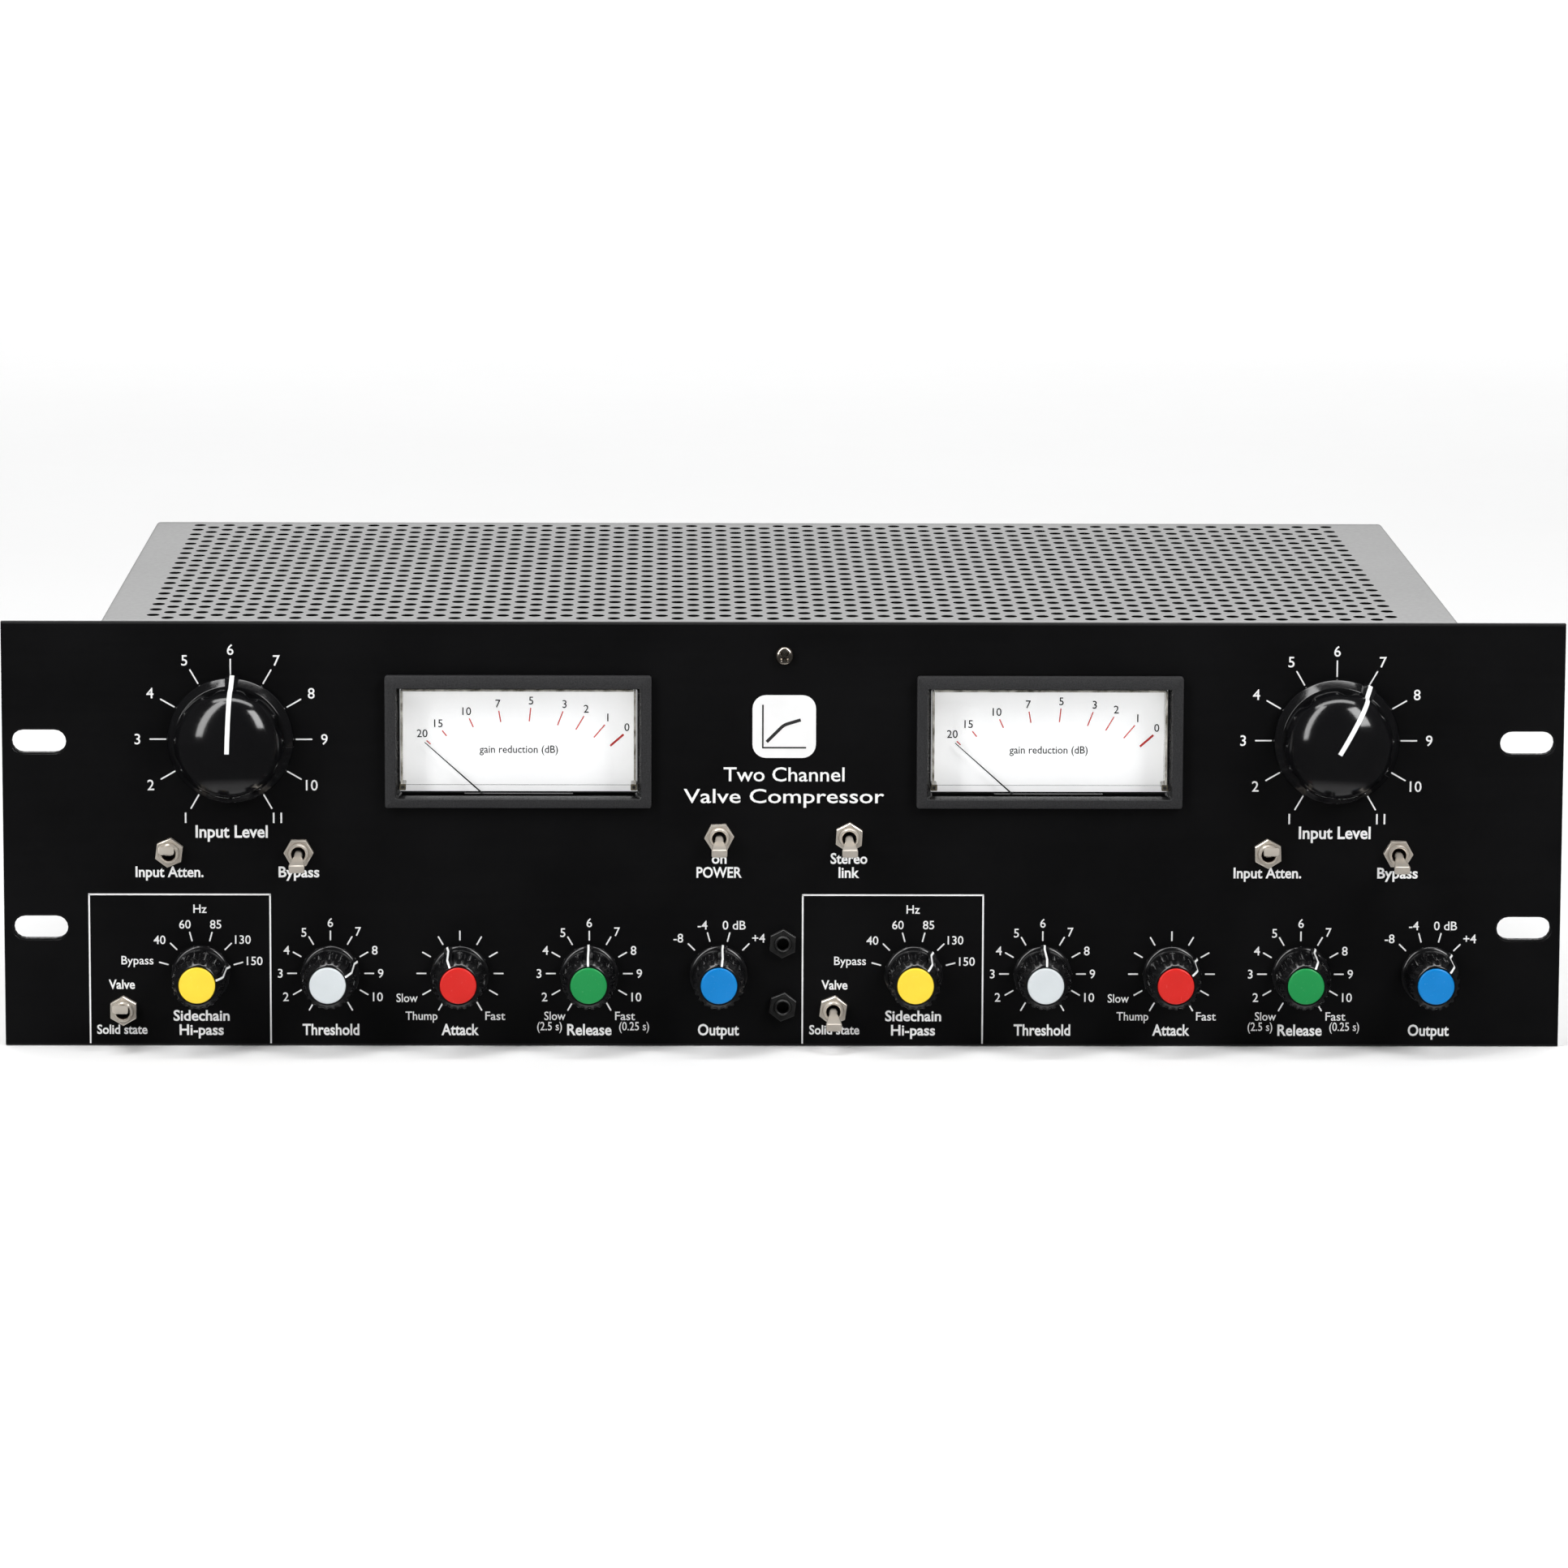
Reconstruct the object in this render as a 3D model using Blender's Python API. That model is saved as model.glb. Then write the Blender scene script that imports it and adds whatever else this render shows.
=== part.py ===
"""A 19-inch, three-unit, two-channel valve compressor.

Frame: metres, +X to the right seen from the front, +Y towards the rear, +Z up.
The origin is at the middle of the bounding box's underside.
Every piece hangs from an empty at the middle of the front panel's lower front edge, so that the
numbers below are read on the panel: x from its middle, y behind its face, z above its lower edge.
"""

import math

import bmesh
import bpy
from mathutils import Matrix, Vector

MM = 0.001

# --- driving dimensions -------------------------------------------------------------------------
PANEL_WIDTH = 482.6 * MM
PANEL_HEIGHT = 132.5 * MM
PANEL_THICK = 3.0 * MM
PANEL_CHAMFER = 0.5 * MM
FRONT_REACH = 22.0 * MM  # from the panel's face to the front of the large knobs
REAR_REACH = 268.0 * MM  # from the panel's face to the back of the rear connectors
PANEL_FACE_Y = (FRONT_REACH - REAR_REACH) / 2
EAR_INNER_X = 214.0 * MM  # each ear's own faces start here, clear of the case

GAP = 0.3 * MM  # left between pieces that touch
SHEET = 1.2 * MM
CUT = 5.0 * MM  # how far a cutter runs past what it cuts

SLOT_X = 229.9 * MM
SLOT_Z = (37.2 * MM, 95.4 * MM)
SLOT_LENGTH = 16.8 * MM
SLOT_WIDTH = 7.2 * MM

CASE_CENTRE_X = -1.0 * MM
CASE_WIDTH = 422.0 * MM
CASE_FRONT = PANEL_THICK + GAP
CASE_REAR = 267.0 * MM
CASE_BOTTOM = 0.5 * MM
CASE_TOP = 131.0 * MM
COVER_LIP = 12.0 * MM
COVER_TAB = (20.0 * MM, 15.0 * MM)  # width, and how far down from the case's top it reaches
TRAY_FLOOR = 1.5 * MM
FLOOR_TOP = CASE_BOTTOM + TRAY_FLOOR
REAR_FACE = 265.5 * MM
REAR_THICK = 1.5 * MM

KNOB_CLEARANCE = 1.0 * MM  # between a knob's skirt and the panel
SHAFT_RADIUS = 3.0 * MM
SHAFT_HOLE = 3.5 * MM
SHAFT_REACH = 12.0 * MM

INPUT_KNOB_X = 170.7 * MM
INPUT_KNOB_Z = 96.1 * MM
INPUT_REST = {"left": 2.0, "right": 30.0}

SMALL_KNOB_Z = 22.7 * MM
SMALL_KNOB_REACH = 21.5 * MM
KNOB_PITCH = 40.1 * MM
FIRST_KNOB_X = {"left": -180.5 * MM, "right": 40.4 * MM}
CONTROLS = ("sidechain", "threshold", "attack", "release", "output")
CONTROL_REST = {
    "left": (75.0, 64.0, -24.5, -1.5, 8.0),
    "right": (40.0, 3.0, 57.0, 28.0, 46.0),
}

LEVER_ANGLE = 12.5  # a lever leans this far either way
LEVER_PIVOT_Y = -2.0 * MM
# name, x, z and whether the lever points up at rest
TOGGLES = (
    ("input_atten_left", -190.0 * MM, 60.8 * MM, True),
    ("bypass_left", -150.0 * MM, 60.8 * MM, False),
    ("valve_mode_left", -204.6 * MM, 11.1 * MM, True),
    ("power", -20.0 * MM, 65.8 * MM, False),
    ("stereo_link", 20.2 * MM, 65.8 * MM, False),
    ("input_atten_right", 150.0 * MM, 60.8 * MM, True),
    ("bypass_right", 190.4 * MM, 60.8 * MM, False),
    ("valve_mode_right", 15.5 * MM, 11.4 * MM, False),
)
BUSHING_RADIUS = 3.15 * MM
BUSHING_REACH = 4.3 * MM
BUSHING_BORE = 2.2 * MM
BUSHING_HOLE = 3.5 * MM
NUT_ACROSS_FLATS = 8.0 * MM
SWITCH_BODY = (6.9 * MM, 12.7 * MM)
SWITCH_DEPTH = 9.5 * MM

JACK_X = -0.2 * MM
JACKS = (("upper", 32.4 * MM), ("lower", 12.5 * MM))
JACK_BODY = (9.0 * MM, 9.0 * MM)
JACK_DEPTH = 14.0 * MM
JACK_HOLE = 2.9 * MM
JACK_COLLAR = 2.6 * MM
JACK_REACH = 3.2 * MM
JACK_BORE = 1.85 * MM
JACK_NUT_ACROSS_FLATS = 7.9 * MM

METER_X = 82.1 * MM
METER_Z = 95.6 * MM
BEZEL_SIZE = (82.3 * MM, 41.2 * MM)
BEZEL_OPENING = (75.7 * MM, 35.0 * MM)
BEZEL_REACH = 2.5 * MM
METER_CASE = (77.4 * MM, 36.6 * MM)
METER_DEPTH = 24.0 * MM
METER_WALL = 1.2 * MM
GLASS_Y = (-2.0 * MM, -0.5 * MM)
MOVEMENT_WIDTH = 36.0 * MM
MOVEMENT_BOTTOM = 58.0 * MM
DIAL_SIZE = (74.2 * MM, 33.4 * MM)
DIAL_Y = 7.0 * MM
DIAL_THICK = 0.8 * MM
NEEDLE_PIVOT_Z = 68.4 * MM
NEEDLE_LENGTH = 39.0 * MM
NEEDLE_REST = -48.2
NEEDLE_Y = 5.3 * MM
HUB_RADIUS = 2.6 * MM
HUB_DEPTH = 3.0 * MM

SCREW_Z = 122.4 * MM
SCREW_HOLE = 1.8 * MM

# name, x of the rear connectors' middles, and whether the connector is a cup with pins
CONNECTOR_Z = 66.0 * MM
XLR_HOLE = 11.8 * MM
XLR_FLANGE = (26.0 * MM, 31.0 * MM)
XLR_DEPTH = 22.0 * MM  # from the rear plate's face forwards
XLR_CUP = 8.6 * MM
XLR_CUP_DEPTH = 15.0 * MM
CONNECTORS = (
    ("xlr_input_left", 170.0 * MM, False),
    ("xlr_output_left", 130.0 * MM, True),
    ("xlr_input_right", 70.0 * MM, False),
    ("xlr_output_right", 30.0 * MM, True),
)
INLET_X = -165.0 * MM
INLET_Z = 60.0 * MM
INLET_FLANGE = (31.0 * MM, 23.5 * MM)
INLET_BODY = (27.0 * MM, 19.4 * MM)
INLET_CAVITY = (24.0 * MM, 16.2 * MM)
FUSE_X = -125.0 * MM
FUSE_RADIUS = 6.0 * MM

BOARD_LOW = (-40.0 * MM, 70.0 * MM, 12.0 * MM)
BOARD_HIGH = (180.0 * MM, 235.0 * MM, 13.6 * MM)
PILLAR_INSET = 6.0 * MM
PILLAR_HALF = 3.0 * MM
# channel, x and y of the valves, and the heights of their sockets and of their feet
VALVES = (("left", 110.0 * MM, 150.0 * MM), ("right", 40.0 * MM, 150.0 * MM))
SOCKET_RADIUS = 12.0 * MM
SOCKET_HEIGHT = 9.0 * MM
VALVE_Z = 21.8 * MM
TRANSFORMER_PLACE = (-130.0 * MM, 165.0 * MM)

FINISHES = {
    "panel_black": ((0.015, 0.015, 0.017), 0.45, 0.0),
    "case_grey": ((0.36, 0.36, 0.36), 0.40, 0.9),
    "knob_black": ((0.006, 0.006, 0.007), 0.12, 0.0),
    "meter_plastic": ((0.03, 0.03, 0.032), 0.55, 0.0),
    "clear_plastic": ((0.85, 0.85, 0.83), 0.05, 0.0),
    "dial_white": ((0.80, 0.80, 0.78), 0.60, 0.0),
    "needle_black": ((0.02, 0.02, 0.02), 0.45, 0.0),
    "nickel": ((0.70, 0.66, 0.60), 0.22, 1.0),
    "socket_black": ((0.01, 0.01, 0.01), 0.30, 0.0),
    "board_green": ((0.03, 0.13, 0.06), 0.40, 0.0),
    "control_metal": ((0.55, 0.56, 0.57), 0.35, 1.0),
    "transformer_wrap": ((0.70, 0.62, 0.30), 0.30, 0.0),
    "valve_glass": ((0.80, 0.82, 0.82), 0.05, 0.0),
    "screw_dark": ((0.25, 0.24, 0.23), 0.30, 1.0),
}


# --- helpers ------------------------------------------------------------------------------------
def clear_scene():
    """Remove what the file opened with."""
    for item in list(bpy.data.objects):
        bpy.data.objects.remove(item, do_unlink=True)


def material_for(finish, name):
    """A Principled material of its own for one node."""
    color, roughness, metallic = FINISHES[finish]
    material = bpy.data.materials.new(f"{name}_{finish}")
    material.use_nodes = True
    shader = material.node_tree.nodes["Principled BSDF"]
    shader.inputs["Base Color"].default_value = (*color, 1.0)
    shader.inputs["Roughness"].default_value = roughness
    shader.inputs["Metallic"].default_value = metallic
    return material


def finish_object(bm, name, finish, location=(0, 0, 0), smooth=False):
    """Turn a bmesh into a named object that hangs from the panel's empty."""
    bmesh.ops.recalc_face_normals(bm, faces=bm.faces)
    mesh = bpy.data.meshes.new(name)
    bm.to_mesh(mesh)
    bm.free()
    item = bpy.data.objects.new(name, mesh)
    bpy.context.collection.objects.link(item)
    item.parent = PANEL_EMPTY
    item.location = location
    if finish is not None:
        mesh.materials.append(material_for(finish, name))
    if smooth:
        mesh.shade_smooth()
        mesh.set_sharp_from_angle(angle=math.radians(35))
    return item


def add_box(bm, low, high):
    """One box from its lowest to its highest corner."""
    low, high = Vector(low), Vector(high)
    made = bmesh.ops.create_cube(bm, size=1.0)["verts"]
    bmesh.ops.scale(bm, vec=high - low, verts=made)
    bmesh.ops.translate(bm, vec=(low + high) / 2, verts=made)


def add_turned(bm, profile, steps):
    """Spin (radius, y) points about the Y axis; the profile starts and ends on the axis."""
    points = [bm.verts.new((radius, y, 0)) for radius, y in profile]
    edges = [bm.edges.new(pair) for pair in zip(points, points[1:])]
    bmesh.ops.spin(
        bm, geom=points + edges, cent=(0, 0, 0), axis=(0, 1, 0), angle=math.tau, steps=steps
    )
    bmesh.ops.remove_doubles(bm, verts=list(bm.verts), dist=0.00001)


def cylinder_profile(radius, y0, y1):
    """The (radius, y) points of a plain cylinder between two depths."""
    return ((0, y0), (radius, y0), (radius, y1), (0, y1))


def box_object(name, low, high, finish=None):
    """A box as a named object."""
    bm = bmesh.new()
    add_box(bm, low, high)
    return finish_object(bm, name, finish)


def turned_object(name, profile, steps, finish=None, location=(0, 0, 0)):
    """A turned shape as a named object."""
    bm = bmesh.new()
    add_turned(bm, profile, steps)
    return finish_object(bm, name, finish, location, smooth=True)


def hexagon_object(name, across_flats, y0, y1, turn_deg, location):
    """A hexagonal nut without its bore, along Y."""
    bm = bmesh.new()
    radius = across_flats / math.sqrt(3)
    matrix = Matrix.Translation((0, (y0 + y1) / 2, 0)) @ Matrix.Rotation(
        math.radians(turn_deg), 4, "Y"
    ) @ Matrix.Rotation(math.pi / 2, 4, "X")
    bmesh.ops.create_cone(
        bm, cap_ends=True, segments=6, radius1=radius, radius2=radius, depth=y1 - y0, matrix=matrix
    )
    return finish_object(bm, name, None, location)


def as_tool(item):
    """Hide a shape that only cuts or joins others."""
    item.hide_render = True
    item.display_type = "WIRE"
    return item


def apply_boolean(item, operation, tools):
    """Add one exact Boolean for each tool."""
    for tool in tools:
        modifier = item.modifiers.new(f"{operation.lower()}_{tool.name}", "BOOLEAN")
        modifier.operation = operation
        modifier.solver = "EXACT"
        modifier.object = as_tool(tool)


def cut(item, *tools):
    """Take tools away from an object."""
    apply_boolean(item, "DIFFERENCE", tools)


def unite(item, *tools):
    """Join tools to an object."""
    apply_boolean(item, "UNION", tools)


def hole_tool(name, x, z, radius, y0, y1, steps=16):
    """A cylinder along Y that cuts a hole."""
    return turned_object(name, cylinder_profile(radius, y0, y1), steps, location=(x, 0, z))


def frame_about(x, z, size, y0, y1):
    """The two corners of a box of a given width and height about a point on the panel."""
    half_x, half_z = size[0] / 2, size[1] / 2
    return (x - half_x, y0, z - half_z), (x + half_x, y1, z + half_z)


# --- front panel --------------------------------------------------------------------------------
def slot_tool(name, x, z):
    """A flat-sided cutter with round ends, as long as a rack slot."""
    bm = bmesh.new()
    half = (SLOT_LENGTH - SLOT_WIDTH) / 2
    points = []
    for side, start in ((1, -90), (-1, 90)):
        for step in range(9):
            angle = math.radians(start + 180 * step / 8)
            points.append(
                (side * half + SLOT_WIDTH / 2 * math.cos(angle), SLOT_WIDTH / 2 * math.sin(angle))
            )
    face = bm.faces.new([bm.verts.new((px, -CUT, pz)) for px, pz in points])
    made = bmesh.ops.extrude_face_region(bm, geom=[face])["geom"]
    moved = [v for v in made if isinstance(v, bmesh.types.BMVert)]
    bmesh.ops.translate(bm, vec=(0, PANEL_THICK + 2 * CUT, 0), verts=moved)
    return finish_object(bm, name, None, (x, 0, z))


def knob_places():
    """(name, x, z, rest angle) of every knob, the two large ones first."""
    places = []
    for side, sign in (("left", -1), ("right", 1)):
        places.append((f"input_knob_{side}", sign * INPUT_KNOB_X, INPUT_KNOB_Z, INPUT_REST[side]))
    for side in ("left", "right"):
        for index, control in enumerate(CONTROLS):
            x = FIRST_KNOB_X[side] + index * KNOB_PITCH
            places.append((f"{control}_knob_{side}", x, SMALL_KNOB_Z, CONTROL_REST[side][index]))
    return places


def panel_blank():
    """The undrilled panel: chamfered round its front, each ear's faces parted from the rest."""
    bm = bmesh.new()
    half = PANEL_WIDTH / 2
    add_box(bm, (-half, 0, 0), (half, PANEL_THICK, PANEL_HEIGHT))
    rim = [e for e in bm.edges if all(v.co.y < PANEL_THICK / 2 for v in e.verts)]
    bmesh.ops.bevel(bm, geom=rim, offset=PANEL_CHAMFER, segments=1, affect="EDGES")
    for sign in (-1, 1):
        whole = list(bm.verts) + list(bm.edges) + list(bm.faces)
        bmesh.ops.bisect_plane(
            bm, geom=whole, plane_co=(sign * EAR_INNER_X, 0, 0), plane_no=(1, 0, 0)
        )
    return finish_object(bm, "front_panel", "panel_black")


def make_front_panel():
    """The 19-inch panel, slotted at its ears and drilled for what it holds."""
    panel = panel_blank()
    through = (-CUT, PANEL_THICK + CUT)
    for sign, side in ((-1, "left"), (1, "right")):
        for z, level in zip(SLOT_Z, ("low", "high")):
            cut(panel, slot_tool(f"tool_slot_{side}_{level}", sign * SLOT_X, z))
        opening = [size / 2 + GAP for size in METER_CASE]
        window = box_object(
            f"tool_window_{side}",
            (sign * METER_X - opening[0], through[0], METER_Z - opening[1]),
            (sign * METER_X + opening[0], through[1], METER_Z + opening[1]),
        )
        cut(panel, window)
    for name, x, z, _ in knob_places():
        cut(panel, hole_tool(f"tool_{name}", x, z, SHAFT_HOLE, *through))
    for name, x, z, _ in TOGGLES:
        cut(panel, hole_tool(f"tool_{name}", x, z, BUSHING_HOLE, *through))
    for name, z in JACKS:
        cut(panel, hole_tool(f"tool_jack_{name}", JACK_X, z, JACK_HOLE, *through))
    cut(panel, hole_tool("tool_screw", 0, SCREW_Z, SCREW_HOLE, *through))


def make_front_screw():
    """The round-headed screw that holds the panel to the cover's tab."""
    head = ((0, -2.2), (1.6, -2.1), (2.6, -1.5), (2.9, -0.3), (1.5, -0.3), (1.5, 7.0), (0, 7.0))
    profile = [(radius * MM, y * MM) for radius, y in head]
    turned_object("front_screw", profile, 20, "screw_dark", (0, 0, SCREW_Z))


# --- case ---------------------------------------------------------------------------------------
def case_sides(inset):
    """The x of the case's two sides, moved in by an amount."""
    return (
        CASE_CENTRE_X - CASE_WIDTH / 2 + inset,
        CASE_CENTRE_X + CASE_WIDTH / 2 - inset,
    )


def make_tray():
    """The folded tray: a floor and two side walls, open at the top, front and rear."""
    left, right = case_sides(SHEET + GAP)
    top = CASE_TOP - SHEET - GAP
    tray = box_object(
        "chassis_tray", (left, CASE_FRONT, CASE_BOTTOM), (right, CASE_REAR, top), "case_grey"
    )
    inside = box_object(
        "tool_tray_inside",
        (left + SHEET, CASE_FRONT - CUT, FLOOR_TOP),
        (right - SHEET, CASE_REAR + CUT, top + CUT),
    )
    cut(tray, inside)


def make_cover():
    """The lid: a plate with two side lips outside the tray's walls and a tab for the front screw."""
    left, right = case_sides(0)
    cover = box_object(
        "top_cover",
        (left, CASE_FRONT, CASE_TOP - COVER_LIP),
        (right, CASE_REAR, CASE_TOP),
        "case_grey",
    )
    under = box_object(
        "tool_cover_under",
        (left + SHEET, CASE_FRONT - CUT, CASE_TOP - COVER_LIP - CUT),
        (right - SHEET, CASE_REAR + CUT, CASE_TOP - SHEET),
    )
    tab = box_object(
        "tool_cover_tab",
        (-COVER_TAB[0] / 2, CASE_FRONT, CASE_TOP - COVER_TAB[1]),
        (COVER_TAB[0] / 2, CASE_FRONT + SHEET, CASE_TOP - SHEET / 2),
    )
    cut(cover, under)
    unite(cover, tab)
    cut(cover, hole_tool("tool_tab_hole", 0, SCREW_Z, SCREW_HOLE, 0, 2 * CUT))


def make_rear_panel():
    """The rear plate between the tray's walls, cut out for its connectors."""
    left, right = case_sides(2 * SHEET + 2 * GAP)
    bottom, top = FLOOR_TOP + GAP, CASE_TOP - SHEET - GAP
    plate = box_object(
        "rear_panel", (left, REAR_FACE - REAR_THICK, bottom), (right, REAR_FACE, top), "case_grey"
    )
    through = (REAR_FACE - REAR_THICK - CUT, REAR_FACE + CUT)
    for name, x, _ in CONNECTORS:
        cut(plate, hole_tool(f"tool_{name}", x, CONNECTOR_Z, XLR_HOLE + GAP, *through, steps=24))
    cut(plate, hole_tool("tool_fuse", FUSE_X, INLET_Z, FUSE_RADIUS + GAP, *through))
    half = [size / 2 + GAP for size in INLET_BODY]
    inlet = box_object(
        "tool_inlet",
        (INLET_X - half[0], through[0], INLET_Z - half[1]),
        (INLET_X + half[0], through[1], INLET_Z + half[1]),
    )
    cut(plate, inlet)


# --- knobs --------------------------------------------------------------------------------------
def knob_object(name, profile, steps, pointer, place):
    """A turned knob with a raised pointer, bored for its shaft, turned to its rest angle."""
    x, z, rest = place
    knob = turned_object(name, profile, steps, "knob_black", (x, 0, z))
    low, high = pointer
    rib = box_object(f"tool_rib_{name}", low, high)
    bore = turned_object(
        f"tool_bore_{name}",
        cylinder_profile(SHAFT_RADIUS + GAP, -SHAFT_REACH - 1 * MM, CUT),
        16,
    )
    for tool in (rib, bore):
        tool.parent = knob
    unite(knob, rib)
    cut(knob, bore)
    knob.rotation_euler.y = math.radians(rest)


def make_input_knobs():
    """The large knobs: a wide skirt, a sloping band and a domed grip."""
    back, front = -KNOB_CLEARANCE / MM, -FRONT_REACH / MM
    points = (
        (0, back), (19.5, back), (19.5, -3.0), (17.3, -7.2), (16.9, -8.0),
        (16.4, -16.5), (13.0, -20.0), (7.0, -21.6), (0, front),
    )
    profile = [(radius * MM, y * MM) for radius, y in points]
    pointer = ((-1.6 * MM, -8.0 * MM, 15.0 * MM), (1.6 * MM, -2.4 * MM, 20.3 * MM))
    for name, x, z, rest in knob_places()[:2]:
        knob_object(name, profile, 48, pointer, (x, z, rest))


def make_small_knobs():
    """The small knobs: a thin skirt, a grip that narrows, and a flat capped end."""
    back, front = -KNOB_CLEARANCE / MM, -SMALL_KNOB_REACH / MM
    points = (
        (0, back), (9.25, back), (9.25, -3.4), (8.2, -4.2), (7.9, -18.5), (7.5, -20.6),
        (5.8, -20.9), (5.4, front), (0, front),
    )
    profile = [(radius * MM, y * MM) for radius, y in points]
    pointer = ((-0.6 * MM, -4.6 * MM, 6.0 * MM), (0.6 * MM, -1.4 * MM, 9.5 * MM))
    for name, x, z, rest in knob_places()[2:]:
        knob_object(name, profile, 24, pointer, (x, z, rest))


# --- toggles and jacks --------------------------------------------------------------------------
def make_lever(name, x, z, points_up):
    """A flat bat lever on its pivot, wider towards its end."""
    stations = (
        (1.5, 0.8, 0.8), (0.0, 1.25, 1.0), (-3.0, 1.25, 1.0), (-12.9, 2.45, 1.3), (-13.5, 2.1, 1.0),
    )
    bm = bmesh.new()
    rings = []
    for y, half_x, half_z in stations:
        corners = ((-1, -1), (1, -1), (1, 1), (-1, 1))
        rings.append([bm.verts.new((sx * half_x * MM, y * MM, sz * half_z * MM)) for sx, sz in corners])
    for ring, following in zip(rings, rings[1:]):
        for index in range(4):
            after = (index + 1) % 4
            bm.faces.new((ring[index], ring[after], following[after], following[index]))
    bm.faces.new(rings[0])
    bm.faces.new(rings[-1])
    lever = finish_object(bm, f"{name}_lever", "nickel", (x, LEVER_PIVOT_Y, z))
    lever.rotation_euler.x = math.radians(-LEVER_ANGLE if points_up else LEVER_ANGLE)


def make_toggles():
    """Each toggle's body behind the panel with its bushing and nut, and its lever."""
    for index, (name, x, z, points_up) in enumerate(TOGGLES):
        back = PANEL_THICK + GAP
        body = box_object(
            f"{name}_switch", *frame_about(x, z, SWITCH_BODY, back, back + SWITCH_DEPTH), "nickel"
        )
        bushing = hole_tool(f"tool_bushing_{name}", x, z, BUSHING_RADIUS, -BUSHING_REACH, CUT)
        nut = hexagon_object(
            f"tool_nut_{name}", NUT_ACROSS_FLATS, -2.3 * MM, -GAP, 17.0 * index, (x, 0, z)
        )
        bore = hole_tool(f"tool_bushing_bore_{name}", x, z, BUSHING_BORE, -2 * CUT, 1.5 * MM)
        unite(body, bushing, nut)
        cut(body, bore)
        make_lever(name, x, z, points_up)


def make_jacks():
    """The two small sockets: a body, a threaded collar and a nut, bored for a plug."""
    back = PANEL_THICK + GAP
    for name, z in JACKS:
        jack = box_object(
            f"jack_{name}", *frame_about(JACK_X, z, JACK_BODY, back, back + JACK_DEPTH), "socket_black"
        )
        collar = hole_tool(f"tool_collar_{name}", JACK_X, z, JACK_COLLAR, -JACK_REACH, CUT)
        nut = hexagon_object(
            f"tool_jack_nut_{name}", JACK_NUT_ACROSS_FLATS, -2.4 * MM, -GAP, 6.0, (JACK_X, 0, z)
        )
        bore = hole_tool(f"tool_jack_bore_{name}", JACK_X, z, JACK_BORE, -2 * CUT, 13.0 * MM)
        unite(jack, collar, nut)
        cut(jack, bore)


# --- meters -------------------------------------------------------------------------------------
def make_meter(side, x):
    """One gain-reduction meter: bezel, clear front, dial, case with its movement, and needle."""
    bezel = box_object(
        f"meter_bezel_{side}", *frame_about(x, METER_Z, BEZEL_SIZE, -BEZEL_REACH, -GAP),
        "meter_plastic",
    )
    opening = frame_about(x, METER_Z, BEZEL_OPENING, -BEZEL_REACH - CUT, CUT)
    cut(bezel, box_object(f"tool_bezel_{side}", *opening))

    glass_size = [size - 2 * GAP for size in BEZEL_OPENING]
    glass = frame_about(x, METER_Z, glass_size, *GLASS_Y)
    box_object(f"meter_glass_{side}", *glass, "clear_plastic")

    dial = frame_about(x, METER_Z, DIAL_SIZE, DIAL_Y, DIAL_Y + DIAL_THICK)
    box_object(f"meter_dial_{side}", *dial, "dial_white")

    make_meter_case(side, x)
    make_needle(side, x)


def make_meter_case(side, x):
    """A tub that shows through the panel, with a deeper pocket below for the movement."""
    wall = METER_WALL
    case = box_object(
        f"meter_case_{side}", *frame_about(x, METER_Z, METER_CASE, 0, METER_DEPTH), "meter_plastic"
    )
    half = MOVEMENT_WIDTH / 2
    tub_bottom = METER_Z - METER_CASE[1] / 2
    pocket = box_object(
        f"tool_pocket_{side}",
        (x - half, PANEL_THICK + GAP, MOVEMENT_BOTTOM),
        (x + half, METER_DEPTH, tub_bottom + wall),
    )
    inside = [size - 2 * wall for size in METER_CASE]
    tub = box_object(
        f"tool_tub_{side}", *frame_about(x, METER_Z, inside, -CUT, METER_DEPTH - 2 * MM)
    )
    hollow = box_object(
        f"tool_hollow_{side}",
        (x - half + wall, PANEL_THICK + GAP + 1 * MM, MOVEMENT_BOTTOM + wall),
        (x + half - wall, METER_DEPTH - 2 * MM, tub_bottom + 2 * wall),
    )
    movement = box_object(
        f"tool_movement_{side}",
        (x - 9 * MM, 10 * MM, NEEDLE_PIVOT_Z - 7 * MM),
        (x + 9 * MM, METER_DEPTH - 1 * MM, NEEDLE_PIVOT_Z + 7 * MM),
    )
    unite(case, pocket)
    cut(case, tub, hollow)
    unite(case, movement)


def make_needle(side, x):
    """The needle on its hub, with a short tail that balances it."""
    hub = turned_object(
        f"meter_needle_{side}",
        cylinder_profile(HUB_RADIUS, 0, HUB_DEPTH),
        16,
        "needle_black",
        (x, NEEDLE_Y, NEEDLE_PIVOT_Z),
    )
    arm = box_object(
        f"tool_arm_{side}", (-0.35 * MM, 0, -6.0 * MM), (0.35 * MM, 0.5 * MM, NEEDLE_LENGTH)
    )
    tail = box_object(f"tool_tail_{side}", (-1.5 * MM, 0, -6.5 * MM), (1.5 * MM, 2 * MM, -1 * MM))
    for tool in (arm, tail):
        tool.parent = hub
    unite(hub, tail, arm)
    hub.rotation_euler.y = math.radians(NEEDLE_REST)


# --- behind the panel ---------------------------------------------------------------------------
def pot_tool(name, x, z, radius, depth):
    """A pot's body with its shaft, to be joined to the board that carries it."""
    start = PANEL_THICK + GAP
    profile = (
        (0, -SHAFT_REACH), (SHAFT_RADIUS, -SHAFT_REACH), (SHAFT_RADIUS, start), (radius, start),
        (radius, start + depth), (0, start + depth),
    )
    return turned_object(f"tool_pot_{name}", profile, 16, location=(x, 0, z))


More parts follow.
